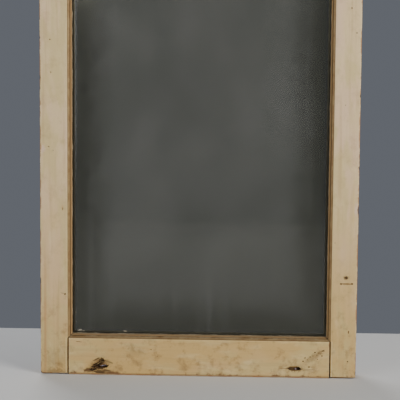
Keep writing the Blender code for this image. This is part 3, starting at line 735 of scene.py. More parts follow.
def window_glass(name):
    """An old drawn pane with dust, borders darkened by dirt and by the frame's painted shadow, a dark strip
    of painted shade and dirt by the sight line, and dried runs.
    """
    material, mix, shader = new_material(name)
    x, _, z = mix.split(mix.place)
    inset = from_sight_line(mix)
    frayed = mix.scaled(mix.cloud(42, 5, 0.68), 0.05, -0.025)
    # darker towards the borders: dirt, and the painted shadow that the frame casts behind the pane
    border = mix.ramp(mix.plus(inset, frayed), -0.072, -0.012)
    foot = mix.ramp(z, 0.34, 0.06)
    # a dark strip along the sight line: painted shade by the moulding's edge, with dirt
    strip = mix.plus(inset, mix.times(mix.cloud(150, 3), 0.0016))
    strip = mix.ramp(strip, -0.0042, -0.0018)
    haze = mix.ramp(mix.cloud(9, 4, 0.55, (1.0, 1.0, 0.7), 0.5), 0.35, 0.7)
    blotch = mix.ramp(mix.cloud(34, 3, 0.5), 0.66, 0.76)
    colour = mix.lay(GLASS_CLEAR, GLASS_CLOUDY, haze)
    for mask, strength in ((foot, 0.38), (border, 0.8), (blotch, 0.2)):
        colour = mix.lay(colour, GLASS_BORDER, mask, strength)
    for (across, up), (width, height) in GLASS_BLOTS:
        off_x = mix.math("DIVIDE", mix.minus(x, LEFT + across), width)
        off_z = mix.math("DIVIDE", mix.minus(z, up), height)
        reach = mix.plus(mix.math("POWER", off_x, 2.0), mix.math("POWER", off_z, 2.0))
        ragged = mix.scaled(mix.cloud(180, 3, 0.6), 1.2, -0.6)
        spot = mix.ramp(mix.plus(mix.math("SQRT", reach), ragged), 1.2, 0.3)
        colour = mix.lay(colour, GLASS_GRIME, spot, 0.4)
    dusty = mix.use(SPECKS, Scale=75.0, Size=0.09, Share=0.3)["Specks"]
    colour = mix.lay(colour, GLASS_DUST, dusty, 0.5)
    runs = mix.ramp(mix.cloud(70, 2, 0.5, (1.0, 1.0, 0.03)), 0.58, 0.72)
    colour = mix.lay(colour, GLASS_CLOUDY, runs, 0.25)
    colour = mix.lay(colour, GLASS_VEIL, mix.line(inset, -0.0062, 0.0022, 0.0008), 0.15)
    colour = mix.lay(colour, GLASS_STRIP, strip)
    rough = mix.scaled(border, 0.08, mix.scaled(haze, 0.05, 0.04))
    rough = mix.scaled(strip, 0.5, rough, clamp=True)
    mix.fill(shader, {"Base Color": colour, "Roughness": rough, "Metallic": 0.0, "IOR": 1.45})
    mix.fill(shader, {"Specular IOR Level": 0.2, "Transmission Weight": 0.9})
    return material


def rusty(name, scale, shine):
    """Steel gone to rust, with bright rubbed metal."""
    material, mix, shader = new_material(name)
    rust = mix.use(RUST, Scale=scale)
    threshold = 0.25 * shine
    rubbed = mix.ramp(mix.cloud(scale * 1.7, 3, 0.5), 0.60 - threshold, 0.70 - threshold)
    rubbed = mix.times(rubbed, shine)
    colour = mix.lay(rust["Colour"], BRIGHT_STEEL, rubbed)
    rough = mix.scaled(rubbed, -0.35, mix.scaled(rust["Scaling"], 0.3, 0.5), clamp=True)
    metal = mix.scaled(rubbed, 0.5, mix.scaled(rust["Scaling"], -0.5, 0.75), clamp=True)
    mix.fill(shader, {"Base Color": colour, "Metallic": metal, "Roughness": rough})
    mix.bump(shader, rust["Height"], 0.0004, 0.8)
    return material


STAIN_DEPTH = 0.02
# (across, up) and half the (width, height) of each blot on the pane
GLASS_BLOTS = (
    ((0.066, 0.446), (0.007, 0.010)),
    ((0.073, 0.316), (0.006, 0.005)),
    ((0.073, 0.262), (0.010, 0.006)),
    ((0.071, 0.232), (0.009, 0.004)),
    ((0.412, 0.222), (0.009, 0.005)),
    ((0.431, 0.184), (0.008, 0.005)),
)
X_AXIS, Y_AXIS, Z_AXIS = 0, 1, 2

RAW_WOOD = raw_wood("raw_wood", rgb(138, 98, 60), rgb(74, 50, 30), Z_AXIS)
# the darkest bare wood, for the deepest gouges and the nicks: the wood's own tone with painted shade in the
# hollows
TORN_WOOD_SHADED = raw_wood("torn_wood_shaded", rgb(112, 80, 46), rgb(50, 36, 22), X_AXIS, 0.9)
AGED_WOOD = raw_wood("aged_wood", rgb(158, 126, 76), rgb(84, 62, 38), X_AXIS, 0.9)
SPLIT_WOOD = raw_wood("split_wood", rgb(178, 154, 104), rgb(112, 84, 52), X_AXIS, 0.85)
END_GRAIN = raw_wood("end_grain", rgb(158, 122, 80), rgb(100, 72, 44), X_AXIS, 0.85)
PIN_GRAIN = raw_wood("pin_grain", rgb(150, 116, 78), rgb(92, 66, 42), Y_AXIS, 0.85)


# ---------------------------------------------------------------- the four members

# by side (1 hanging, -1 closing): outer edge, rebate and sight line
STILE_LINES = {1: (LEFT, REBATE_LEFT, SIGHT_LEFT), -1: (RIGHT, REBATE_RIGHT, SIGHT_RIGHT)}
# by end (1 bottom, -1 top): outer edge, rebate, sight line and open shoulder
RAIL_LINES = {
    1: (BOTTOM_LOW.z, REBATE_BOTTOM, SIGHT_BOTTOM, BOTTOM_GAP),
    -1: (TOP_HIGH.z, REBATE_TOP, SIGHT_TOP, TOP_GAP),
}


def nail_place(side):
    """Where a broken nail's end shows in the bottom rail."""
    low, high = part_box("nail_stub_" + side)
    return (low.x + high.x) / 2, low.y, (low.z + high.z) / 2


def moulding():
    """The room-side moulding as (inset, depth), from the face to the glass seat."""
    radius = STICKING - FILLET
    points = []
    for step in range(OVOLO_STEPS + 1):
        angle = math.pi / 2 * step / OVOLO_STEPS
        points.append((STICKING - radius * math.sin(angle), QUIRK + radius * (1 - math.cos(angle))))
    points.append((0.0002, QUIRK + radius))
    points.append((0, QUIRK + radius + 0.0003))
    points.append((0, SEAT - FACE))
    return points


def make_stile(name, side):
    """A squared blank with its moulded edge run on and mitred, before the joints are cut."""
    outer, rebate, sight = STILE_LINES[side]
    low_x, high_x = sorted((outer, rebate))
    stile = block(name, (low_x, FACE, STILE_FOOT), (high_x, BACK, STILE_HEAD))
    ease_edges(stile, lambda a, b: True, ARRIS, 3)
    inner = STICKING + OVERLAP
    section = [(inner, QUIRK), *moulding(), (inner, SEAT - FACE)]
    foot = REBATE_BOTTOM - inner
    outline = [(sight - side * inset, FACE + depth, foot) for inset, depth in section]
    strip = run_out("strip", outline, (0, 0, REBATE_TOP - REBATE_BOTTOM + 2 * inner))
    saw_off(strip, (rebate, 0, REBATE_BOTTOM), (side, 0, -1))
    saw_off(strip, (rebate, 0, REBATE_TOP), (side, 0, 1))
    fix_on(stile, strip)
    return stile


def make_rail(name, end):
    """A moulded rail, mitred above its shoulders, before the tenons are joined on."""
    outer, rebate, sight, gap = RAIL_LINES[end]
    width = abs(outer - sight)
    thickness = BACK - FACE
    section = [(STICKING, 0), *moulding(), (STICKING, SEAT - FACE), (STICKING, thickness)]
    section += [(width, thickness), (width, 0)]
    start = REBATE_LEFT + gap
    length = REBATE_RIGHT - REBATE_LEFT - 2 * gap
    outline = [(start, FACE + depth, sight - end * inset) for inset, depth in section]
    rail = run_out(name, outline, (length, 0, 0))

    def long_arris(a, b):
        along = abs(a.x - b.x) > 0.1
        at_face = abs(a.y - FACE) < TINY or abs(a.y - BACK) < TINY
        at_corner = abs(a.z - outer) < TINY or abs(a.z - rebate) < TINY
        return along and at_face and at_corner

    ease_edges(rail, long_arris, ARRIS, 3)
    saw_off(rail, (start, 0, rebate), (-1, 0, end))
    saw_off(rail, (start + length, 0, rebate), (1, 0, end))
    return rail


def wedge_boxes(number):
    """The two wedges of a corner, the lower one first."""
    pair = [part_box(f"tenon_wedge_{2 * number + 1}"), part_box(f"tenon_wedge_{2 * number + 2}")]
    return sorted(pair, key=lambda box: box[0].z)


def join_corner(stile, rail, side, end, number):
    """A through tenon with its haunch, the mortise flared for wedges, and the pin's hole."""
    lower, upper = wedge_boxes(number)
    outer, rebate, _ = STILE_LINES[side]
    rail_edge, _, _, gap = RAIL_LINES[end]
    shoulder = rebate + side * gap
    wedge_end = lower[1].x if side > 0 else lower[0].x
    near, far = lower[0].y, lower[1].y
    low_edge = lower[1].z + FIT
    high_edge = upper[0].z - FIT
    haunch_low, haunch_high = (rail_edge + 0.001, low_edge) if end > 0 else (high_edge, rail_edge - 0.001)
    rail_low, rail_high = (BOTTOM_LOW, BOTTOM_HIGH) if end > 0 else (TOP_LOW, TOP_HIGH)
    tenon_end = rail_low.x if side > 0 else rail_high.x
    inside = shoulder + side * OVERLAP
    low_x, high_x = sorted((tenon_end, inside))
    fix_on(rail, block("tenon", (low_x, near, low_edge), (high_x, far, high_edge)))
    low_x, high_x = sorted((shoulder - side * HAUNCH, inside))
    fix_on(rail, block("haunch", (low_x, near, haunch_low), (high_x, far, haunch_high)))
    # mortise with flared ends for the wedges
    mouth = outer - side * OVERSHOOT
    narrow = 0.001 + FIT
    outline = [
        (inside, high_edge + FIT),
        (wedge_end, high_edge + FIT),
        (wedge_end, high_edge + FIT + narrow),
        (outer, upper[1].z + FIT),
        (mouth, upper[1].z + FIT),
        (mouth, lower[0].z - FIT),
        (outer, lower[0].z - FIT),
        (wedge_end, low_edge - FIT - narrow),
        (wedge_end, low_edge - FIT),
        (inside, low_edge - FIT),
    ]
    trace = [(x, near - FIT, z) for x, z in outline]
    cut(stile, run_out("mortise", trace, (0, far - near + 2 * FIT, 0)))
    low_x, high_x = sorted((shoulder - side * (HAUNCH + FIT), inside))
    if end > 0:
        haunch_low = STILE_FOOT - OVERSHOOT
    else:
        haunch_high = STILE_HEAD + OVERSHOOT
    cut(stile, block("pocket", (low_x, near - FIT, haunch_low), (high_x, far + FIT, haunch_high)))
    pin_low, pin_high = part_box(f"joint_pin_{number + 1}")
    centre = (pin_low + pin_high) / 2
    radius = (pin_high.x - pin_low.x) / 2 + FIT
    start = (centre.x, pin_low.y - FIT, centre.z)
    for member in (stile, rail):
        cut(member, dowel("pin_hole", radius, start, (centre.x, BACK + OVERSHOOT, centre.z)))


def chips(outer, marks, seed):
    """Bites out of a stile's outer arris: each is its height, its length and its depth."""
    bites = []
    for index, (up, length, depth) in enumerate(marks):
        half = (depth, depth, length / 2)
        bites.append(lump("bite", (outer, FACE, up), half, 0, 0.5, seed + index, 2))
    return gather(bites)


def cut_hinge_gains(stile):
    """Lets the hinges into the stile's outer edge, with holes for their screws."""
    for level in ("lower", "upper"):
        low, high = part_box(f"{level}_hinge_sash_leaf")
        gain_low = (LEFT - OVERSHOOT, low.y - FIT, low.z - FIT)
        gain_high = (LEFT + (LEAF_THICKNESS + FIT), BACK + OVERSHOOT, high.z + FIT)
        cut(stile, block("gain", gain_low, gain_high))
        for number in (1, 2, 3):
            screw_low, screw_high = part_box(f"{level}_hinge_screw_{number}")
            centre = (screw_low + screw_high) / 2
            tip = (screw_high.x + FIT, centre.y, centre.z)
            cut(stile, dowel("screw_hole", HOLE, (LEFT, centre.y, centre.z), tip, 12))


def finish_member(piece, node, x_ends, z_ends, bites=None):
    """Slices the member finely enough to carry slow waves, then chips its arrises."""
    slice_across(piece, X_AXIS, steps_between(*x_ends, SLICE))
    slice_across(piece, Y_AXIS, steps_between(FACE, BACK, SLICE * 1.5))
    slice_across(piece, Z_AXIS, steps_between(*z_ends, SLICE))
    warp(piece, 0.0004, 0.035, 0.1)
    if bites:
        cut(piece, bites)
    clean(piece)
    shade(piece)
    on_sash(piece, "cream_paint", node)


def tear(rail, side, gouges):
    """Tears wood out round a broken nail, one ragged gouge after another.

    Each gouge is (across, up) from the nail, half its (length, depth, height), tilt and bare wood."""
    x, _, z = nail_place(side)
    for index, (place, half_size, tilt, laid_bare) in enumerate(gouges):
        centre = (x + place[0], FACE - SHY, z + place[1])
        seed = 11 + index + (20 if side == "right" else 0)
        cut(rail, lump("gouge", centre, half_size, tilt, 0.5, seed, 4), laid_bare)


def nick(member, marks, depth, laid_bare):
    """Small nicks in the face: (across, up), half their (width, height) and tilt."""
    for index, ((across, up), (width, height), tilt) in enumerate(marks):
        spot = lump("nick", (LEFT + across, FACE - SHY, up), (width, depth, height), tilt, 0.4, 60 + index, 3)
        cut(member, spot, laid_bare)


def make_splinters():
    """Slivers of torn wood still rooted in the left hole."""
    x, _, z = nail_place("left")
    slivers = []
    for (across, up), length, turn, depth in SPLINTERS:
        nothing_selected()
        bpy.ops.mesh.primitive_cone_add(
            vertices=6,
            radius1=0.0007,
            radius2=0.00008,
            depth=length,
            location=(x + across, FACE + depth, z + up),
            rotation=(0, math.pi / 2 + turn, 0),
        )
        slivers.append(set_down(bpy.context.object, "sliver"))
    splinters = label(gather(slivers), "torn_splinters")
    dress(splinters, SPLIT_WOOD)
    shade(splinters, 30)
    return on_sash(splinters, "bare_wood")


LEFT_NAIL_X, _, LEFT_NAIL_Z = nail_place("left")
RIGHT_NAIL_X, _, RIGHT_NAIL_Z = nail_place("right")
STAINS = {
    "bottom_rail": (
        ((LEFT_NAIL_X, LEFT_NAIL_Z + 0.001), (0.0210, 0.0130), 0.35, 0.9, STAIN_BROWN),
        ((LEFT_NAIL_X - 0.014, LEFT_NAIL_Z - 0.007), (0.0140, 0.0050), 0.1, 0.7, STAIN_BROWN),
        ((LEFT_NAIL_X + 0.010, LEFT_NAIL_Z - 0.009), (0.0150, 0.0060), -0.1, 0.65, STAIN_BROWN),
        ((RIGHT_NAIL_X - 0.001, RIGHT_NAIL_Z), (0.0165, 0.0066), 0.0, 0.95, STAIN_BROWN),
        ((RIGHT_NAIL_X + 0.026, RIGHT_NAIL_Z + 0.018), (0.0260, 0.0070), 0.62, 0.42, STAIN_BROWN),
        ((RIGHT_NAIL_X + 0.036, RIGHT_NAIL_Z + 0.026), (0.0080, 0.0050), 0.3, 0.3, STAIN_BROWN),
        ((LEFT + 0.150, 0.036), (0.0240, 0.0100), 0.1, 0.22, STAIN_BROWN),
        ((LEFT + 0.152, 0.020), (0.0120, 0.0070), 0.0, 0.22, STAIN_BROWN),
    ),
    "hanging_stile": (
        ((LEFT + 0.0040, 0.353), (0.0060, 0.0090), 0.0, 0.5, STAIN_ROSY),
        ((LEFT + 0.0012, 0.356), (0.0022, 0.0080), 0.0, 0.7, STAIN_ORANGE),
        ((LEFT + 0.0345, 0.262), (0.0020, 0.0060), 0.0, 0.45, STAIN_ORANGE),
        ((LEFT + 0.0220, 0.003), (0.0260, 0.0100), 0.0, 0.5, STAIN_BROWN),
        ((LEFT + 0.0240, 0.024), (0.0280, 0.0240), 0.0, 0.22, STAIN_BROWN),
    ),
    "closing_stile": (
        ((RIGHT - 0.0030, 0.263), (0.0050, 0.0120), 0.0, 0.6, STAIN_ROSY),
        ((RIGHT - 0.0080, 0.325), (0.0060, 0.0060), 0.0, 0.45, PAINT_PALE),
        ((LEFT + 0.4835, 0.264), (0.0016, 0.0650), 0.0, 0.35, STAIN_YELLOW),
        ((LEFT + 0.4737, 0.158), (0.0062, 0.0050), 0.0, 0.4, STAIN_BROWN),
        ((LEFT + 0.4746, 0.148), (0.0105, 0.0024), 0.0, 0.4, STAIN_BROWN),
    ),
    "top_rail": (),
}
# the deeper a gouge, the darker its bare wood: painted shade in the hollows as well as the torn wood's tone
GOUGES = {
    "left": (
        ((-0.0165, -0.0074), (0.0082, 0.0009, 0.0027), -0.10, SPLIT_WOOD),
        ((-0.0045, 0.0100), (0.0060, 0.0007, 0.0013), -0.50, SPLIT_WOOD),
        ((0.0150, 0.0060), (0.0075, 0.0006, 0.0012), 0.28, SPLIT_WOOD),
        ((0.0115, -0.0078), (0.0062, 0.0007, 0.0018), 0.10, SPLIT_WOOD),
        ((0.0010, -0.0098), (0.0085, 0.0012, 0.0022), 0.05, AGED_WOOD),
        ((-0.0100, -0.0058), (0.0066, 0.0018, 0.0022), -0.15, TORN_WOOD_SHADED),
        ((0.0036, 0.0082), (0.0052, 0.0030, 0.0040), -0.30, AGED_WOOD),
        ((0.0044, 0.0074), (0.0029, 0.0034, 0.0025), -0.50, TORN_WOOD_SHADED),
        ((0.0052, -0.0014), (0.0096, 0.0044, 0.0033), -0.16, TORN_WOOD_SHADED),
        ((-0.0018, 0.0026), (0.0118, 0.0046, 0.0032), -0.49, TORN_WOOD_SHADED),
    ),
    "right": (
        ((0.0200, -0.0010), (0.0130, 0.0003, 0.0003), 0.02, SPLIT_WOOD),
        ((0.0160, -0.0026), (0.0080, 0.0003, 0.0003), 0.05, SPLIT_WOOD),
        ((-0.0180, 0.0004), (0.0100, 0.0003, 0.0003), 0.00, SPLIT_WOOD),
        ((-0.0030, 0.0002), (0.0098, 0.0018, 0.0036), 0.00, AGED_WOOD),
        ((0.0036, 0.0002), (0.0036, 0.0050, 0.0026), 0.00, TORN_WOOD_SHADED),
        ((-0.0008, 0.0002), (0.0034, 0.0040, 0.0022), 0.00, AGED_WOOD),
    ),
}
# each sliver is (across, up) from the left nail, its length, its turn and how deep it lies
SPLINTERS = (
    ((-0.0050, 0.0012), 0.0100, -0.42, 0.0012),
    ((0.0010, 0.0050), 0.0085, -0.55, 0.0016),
    ((0.0052, 0.0010), 0.0070, -0.30, 0.0014),
    ((0.0068, 0.0062), 0.0060, -0.15, 0.0012),
    ((-0.0086, -0.0050), 0.0062, -0.20, 0.0009),
)
RAIL_NICKS = (
    ((0.4402, 0.0432), (0.0026, 0.0009), -0.1),
    ((0.4388, 0.0354), (0.0013, 0.0010), 0.0),
    ((0.4279, 0.0407), (0.0014, 0.0009), -0.5),
    ((0.4340, 0.0398), (0.0008, 0.0008), 0.0),
    ((0.4205, 0.0335), (0.0010, 0.0008), -0.6),
    ((0.4126, 0.0318), (0.0013, 0.0009), -0.5),
    ((0.4096, 0.0265), (0.0012, 0.0010), 0.3),
    ((0.4190, 0.0177), (0.0016, 0.0010), 0.0),
    ((0.4320, 0.0300), (0.0008, 0.0007), 0.0),
    ((0.4365, 0.0385), (0.0009, 0.0006), 0.4),
    ((0.4310, 0.0365), (0.0009, 0.0007), -0.3),
    ((0.4250, 0.0350), (0.0008, 0.0006), 0.0),
    ((0.4160, 0.0290), (0.0008, 0.0006), 0.2),
    ((0.0600, 0.0520), (0.0046, 0.0004), 0.1),
    ((0.1730, 0.0410), (0.0012, 0.0006), 0.0),
    ((0.1830, 0.0310), (0.0010, 0.0005), 0.4),
)
STILE_NICKS = {
    1: (((0.0384, 0.1269), (0.0014, 0.0012), 0.0), ((0.0345, 0.1283), (0.0032, 0.0003), 0.1)),
    -1: (
        ((0.4737, 0.1577), (0.0019, 0.0017), 0.0),
        ((0.4662, 0.1483), (0.0018, 0.0013), 0.0),
        ((0.4830, 0.1485), (0.0018, 0.0013), 0.0),
        ((0.4746, 0.1484), (0.0080, 0.0006), 0.0),
        ((0.4754, 0.5690), (0.0010, 0.0012), 0.0),
        ((0.4836, 0.5316), (0.0009, 0.0011), 0.0),
        ((0.4790, 0.0730), (0.0007, 0.0024), 0.1),
        ((0.4785, 0.0272), (0.0009, 0.0010), 0.0),
    ),
}
STILE_DENTS = {
    1: (
        ((0.0350, 0.2600), (0.0010, 0.0022), 0.0),
        ((0.0135, 0.3560), (0.0016, 0.0009), 0.3),
        ((0.0158, 0.5200), (0.0012, 0.0010), 0.0),
        ((0.0170, 0.4700), (0.0010, 0.0014), 0.0),
    ),
    -1: (((0.4737, 0.1577), (0.0036, 0.0030), 0.0),),
}
# bites out of the outer arris: height, length and depth
STILE_CHIPS = {
    1: (
        (0.587, 0.004, 0.0012),
        (0.523, 0.005, 0.0010),
        (0.462, 0.006, 0.0016),
        (0.446, 0.007, 0.0009),
        (0.147, 0.012, 0.0012),
        (0.415, 0.005, 0.0007),
        (0.552, 0.006, 0.0008),
        (0.33, 0.004, 0.0006),
        (0.0022, 0.006, 0.0018),
    ),
    -1: (
        (0.437, 0.006, 0.0012),
        (0.327, 0.006, 0.0015),
        (0.263, 0.012, 0.0022),
        (0.008, 0.008, 0.0014),
        (0.60, 0.005, 0.0008),
    ),
}


def stile_paint(node, low_x, high_x):
    """The paint of a stile, worn at the arrises of this width."""
    low, high = (low_x, FACE, STILE_FOOT), (high_x, BACK, STILE_HEAD)
    return cream_paint("cream_paint_" + node, low, high, Z_AXIS, 1.0, STAINS[node])


def rail_paint(node, gap, low_z, high_z, tone):
    """The paint of a rail, worn at the arrises of this height."""
    low, high = (REBATE_LEFT + gap, FACE, low_z), (REBATE_RIGHT - gap, BACK, high_z)
    return cream_paint("cream_paint_" + node, low, high, X_AXIS, tone, STAINS[node])


stiles = {1: make_stile("sash_hanging_stile", 1), -1: make_stile("sash_closing_stile", -1)}
rails = {1: make_rail("sash_bottom_rail", 1), -1: make_rail("sash_top_rail", -1)}
dress(stiles[1], stile_paint("hanging_stile", LEFT, SIGHT_LEFT + CLEAR), RAW_WOOD)
dress(stiles[-1], stile_paint("closing_stile", SIGHT_RIGHT - CLEAR, RIGHT), RAW_WOOD)
dress(rails[1], rail_paint("bottom_rail", BOTTOM_GAP, BOTTOM_LOW.z, SIGHT_BOTTOM + CLEAR, 0.62), RAW_WOOD)
dress(rails[-1], rail_paint("top_rail", TOP_GAP, SIGHT_TOP - CLEAR, TOP_HIGH.z, 1.0), RAW_WOOD)
for number, (side, end) in enumerate(((1, 1), (1, -1), (-1, 1), (-1, -1))):
    join_corner(stiles[side], rails[end], side, end, number)
cut_hinge_gains(stiles[1])

for side, node in ((1, "hanging_stile"), (-1, "closing_stile")):
    outer, rebate, _ = STILE_LINES[side]
    nick(stiles[side], STILE_DENTS[side], 0.0005, SPLIT_WOOD)
    nick(stiles[side], STILE_NICKS[side], 0.0009, TORN_WOOD_SHADED)
    bites = chips(outer, STILE_CHIPS[side], 3 + side)
    finish_member(stiles[side], node, sorted((outer, rebate)), (STILE_FOOT, STILE_HEAD), bites)

for side in ("left", "right"):
    x, y, z = nail_place(side)
    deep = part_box("nail_stub_" + side)[1].y + FIT
    cut(rails[1], dowel("nail_hole", HOLE, (x, y, z), (x, deep, z), 16))
for side in ("left", "right"):
    tear(rails[1], side, GOUGES[side])
nick(rails[1], RAIL_NICKS, 0.0008, TORN_WOOD_SHADED)
make_splinters()
for end, node in ((1, "bottom_rail"), (-1, "top_rail")):
    outer, rebate, _, _ = RAIL_LINES[end]
    finish_member(rails[end], node, (REBATE_LEFT, REBATE_RIGHT), sorted((outer, rebate)))


# ---------------------------------------------------------------- glass and putty


def make_pane():
    pane = block("window_pane", PANE_LOW, PANE_HIGH)
    ease_edges(pane, lambda a, b: True, 0.0003, 2)
    slice_across(pane, X_AXIS, steps_between(PANE_LOW.x, PANE_HIGH.x, 0.02))
    slice_across(pane, Z_AXIS, steps_between(PANE_LOW.z, PANE_HIGH.z, 0.02))
    dress(pane, window_glass("window_glass"))
    shade(pane)
    return on_sash(pane, "window_glass", "glass_pane")


def make_putty_runs():
    """Four sloped runs outside the glass, mitred, slumped a little and cracked across."""
    base = old_putty("old_putty", rgb(148, 136, 112), 1.0, (PUTTY_LOW.y + 0.0002, PUTTY_LOW.y + 0.0009))
    toe = PUTTY_HIGH.x - SIGHT_LEFT
    near = PUTTY_LOW.y
    far = PUTTY_HIGH.y
    section = [
        (-toe, near),
        (STICKING - FIT, near),
        (STICKING - FIT, far),
        ((STICKING - FIT) * 0.5, near + (far - near) * 0.66),
        (0.0, near + (far - near) * 0.32),
        (-toe, near + 0.0006),
    ]
    runs = (
        ("putty_hanging_side", SIGHT_LEFT, REBATE_LEFT, 1, Z_AXIS),
        ("putty_closing_side", SIGHT_RIGHT, REBATE_RIGHT, -1, Z_AXIS),
        ("putty_bottom", SIGHT_BOTTOM, REBATE_BOTTOM, 1, X_AXIS),
        ("putty_top", SIGHT_TOP, REBATE_TOP, -1, X_AXIS),
    )
    for node, sight, rebate, inward, along in runs:
        if along == Z_AXIS:
            start, end = REBATE_BOTTOM + FIT, REBATE_TOP - FIT
            outline = [(sight - inward * inset, y, start) for inset, y in section]
            run = run_out("glazing_" + node, outline, (0, 0, end - start))
            saw_off(run, (rebate, 0, start), (inward, 0, -1))
            saw_off(run, (rebate, 0, end), (inward, 0, 1))
        else:
            start, end = REBATE_LEFT + FIT, REBATE_RIGHT - FIT
            outline = [(start, y, sight - inward * inset) for inset, y in section]
            run = run_out("glazing_" + node, outline, (end - start, 0, 0))
            saw_off(run, (start, 0, rebate), (-1, 0, inward))
            saw_off(run, (end, 0, rebate), (1, 0, inward))
        slice_across(run, along, steps_between(start, end, SLICE))
        warp(run, -0.0009, 0.012, 0.35)
        for vertex in run.data.vertices:
            vertex.co.y = max(vertex.co.y, near)
        dress(run, base)
        shade(run, 40)
        on_sash(run, "old_putty", node)


CRUMBS = (
    (0.0600, 0.0046, 0.0026),
    (0.0570, 0.0040, 0.0014),
    (0.0650, 0.0036, 0.0013),
    (0.1310, 0.0036, 0.0022),
    (0.1290, 0.0046, 0.0011),
    (0.0540, 0.0180, 0.0009),
    (0.0530, 0.0330, 0.0008),
)


def make_bed():
    """The thin bed under the glass, squeezed out unevenly past the sight line."""
    bed = block("glazing_bed", BED_LOW, BED_HIGH)
    opening = block(
        "opening",
        (SIGHT_LEFT, BED_LOW.y - OVERSHOOT, SIGHT_BOTTOM),
        (SIGHT_RIGHT, BED_HIGH.y + OVERSHOOT, SIGHT_TOP),
    )
    combine(bed, opening, "DIFFERENCE")
    slice_across(bed, X_AXIS, steps_between(BED_LOW.x, BED_HIGH.x, SLICE))
    slice_across(bed, Z_AXIS, steps_between(BED_LOW.z, BED_HIGH.z, SLICE))
    for vertex in bed.data.vertices:
        x, y, z = vertex.co
        squeeze = 0.0004 + 0.0009 * noise.noise(Vector((x, 0, z)) * 90)
        squeeze += 0.0005 * noise.noise(Vector((x, 3, z)) * 310)
        if abs(x - SIGHT_LEFT) < TINY:
            vertex.co.x += squeeze
        if abs(x - SIGHT_RIGHT) < TINY:
            vertex.co.x -= squeeze
        if abs(z - SIGHT_BOTTOM) < TINY:
            vertex.co.z += squeeze
        if abs(z - SIGHT_TOP) < TINY:
            vertex.co.z -= squeeze
    crumbs = []
    for index, (x, z, size) in enumerate(CRUMBS):
        centre = (LEFT + x, PANE_LOW.y - 0.0003, SIGHT_BOTTOM + z)
        crumbs.append(lump("crumb", centre, (size, 0.0004, size * 0.6), 0, 0.6, 40 + index, 2))
    crumbs = label(gather(crumbs), "putty_crumbs")
    dress(crumbs, old_putty("pale_crumbs", rgb(150, 146, 132), 0.3))
    shade(crumbs)
    on_sash(crumbs, "old_putty")
    # the bed is coloured dark so that it shows as a dark line at the sight line: grime with painted shade
    dress(bed, old_putty("bed_putty_grime_and_shade", rgb(92, 84, 66)))
    shade(bed, 40)
    return on_sash(bed, "old_putty", "bed_putty")


make_pane()
make_putty_runs()
make_bed()


# ---------------------------------------------------------------- hinges, nails, wedges and pins


def eased_copy(node, name, width, material, body, slot):
    """A frame node taken over with its edges rounded."""
    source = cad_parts[node]
    piece = source.copy()
    piece.data = source.data.copy()
    for key in list(piece.keys()):
        del piece[key]
    bpy.context.scene.collection.objects.link(piece)
    piece.parent = None
    open_up(label(piece, name))
    bpy.ops.mesh.remove_doubles(threshold=1e-6)
    bpy.ops.mesh.dissolve_limited(angle_limit=math.radians(1))
    bpy.ops.object.mode_set(mode="OBJECT")
    if width:
        step = piece.modifiers.new("Ease", "BEVEL")
        step.width = width
        step.segments = 2
        step.limit_method = "ANGLE"
        step.angle_limit = math.radians(40)
        step.use_clamp_overlap = True
        bpy.ops.object.modifier_apply(modifier=step.name)
    clean(piece)
    dress(piece, material)
    shade(piece, 40)
    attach(piece, body)
    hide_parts(node)
    return piece


def make_bent_nail():
    """The left nail was levered over before it broke: its end lies bent along the gouge."""
    low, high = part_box("nail_stub_left")
    x = (low.x + high.x) / 2
    z = (low.z + high.z) / 2
    route = (
        (x, high.y, z),
        (x, low.y + 0.0030, z),
        (x + 0.0006, low.y + 0.0012, z - 0.0001),
        (x + 0.0022, low.y + 0.0000, z - 0.0004),
        (x + 0.0046, low.y - 0.0007, z - 0.0002),
        (x + 0.0105, low.y - 0.0010, z + 0.0012),
    )
    line = bpy.data.curves.new("nail_left", "CURVE")
    line.dimensions = "3D"
    line.bevel_depth = 0.0013
    line.bevel_resolution = 4
    line.use_fill_caps = True
    bend = line.splines.new("POLY")
    bend.points.add(len(route) - 1)
    for point, place, radius in zip(bend.points, route, (1.0, 1.0, 1.0, 1.0, 0.85, 0.55)):
        point.co = (*place, 1)
        point.radius = radius
    nail = bpy.data.objects.new("nail_left", line)
    bpy.context.scene.collection.objects.link(nail)
    take_up(nail)
    bpy.ops.object.convert(target="MESH")
    nail = bpy.context.object
    open_up(nail)
    bpy.ops.mesh.remove_doubles(threshold=1e-6)
    bpy.ops.mesh.normals_make_consistent(inside=False)
    bpy.ops.object.mode_set(mode="OBJECT")
    dress(nail, rusty("bent_nail_steel", 420.0, 1.0))
    shade(nail, 40)
    return on_sash(nail, "rusty_steel", "nail_stub_left")


def make_nail(node, name, tilt):
    """A broken wire nail: the end is snapped off at a slant and rubbed bright."""
    low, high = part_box(node)
    centre = (low + high) / 2
    radius = (high.x - low.x) / 2 - 0.0001
    nail = dowel(name, radius, (centre.x, low.y, centre.z), (centre.x, high.y, centre.z), 20)
    for vertex in nail.data.vertices:
        if vertex.co.y < low.y + TINY:
            across = vertex.co.x - centre.x
            up = vertex.co.z - centre.z
            ragged = 0.0003 * noise.noise(vertex.co * 900)
            vertex.co.y = low.y + 0.0008 + tilt * up + 0.3 * across + ragged
    dress(nail, rusty("rusty_nail_" + name, 700.0, 0.5))
    shade(nail, 40)
    return on_sash(nail, "rusty_steel", node)


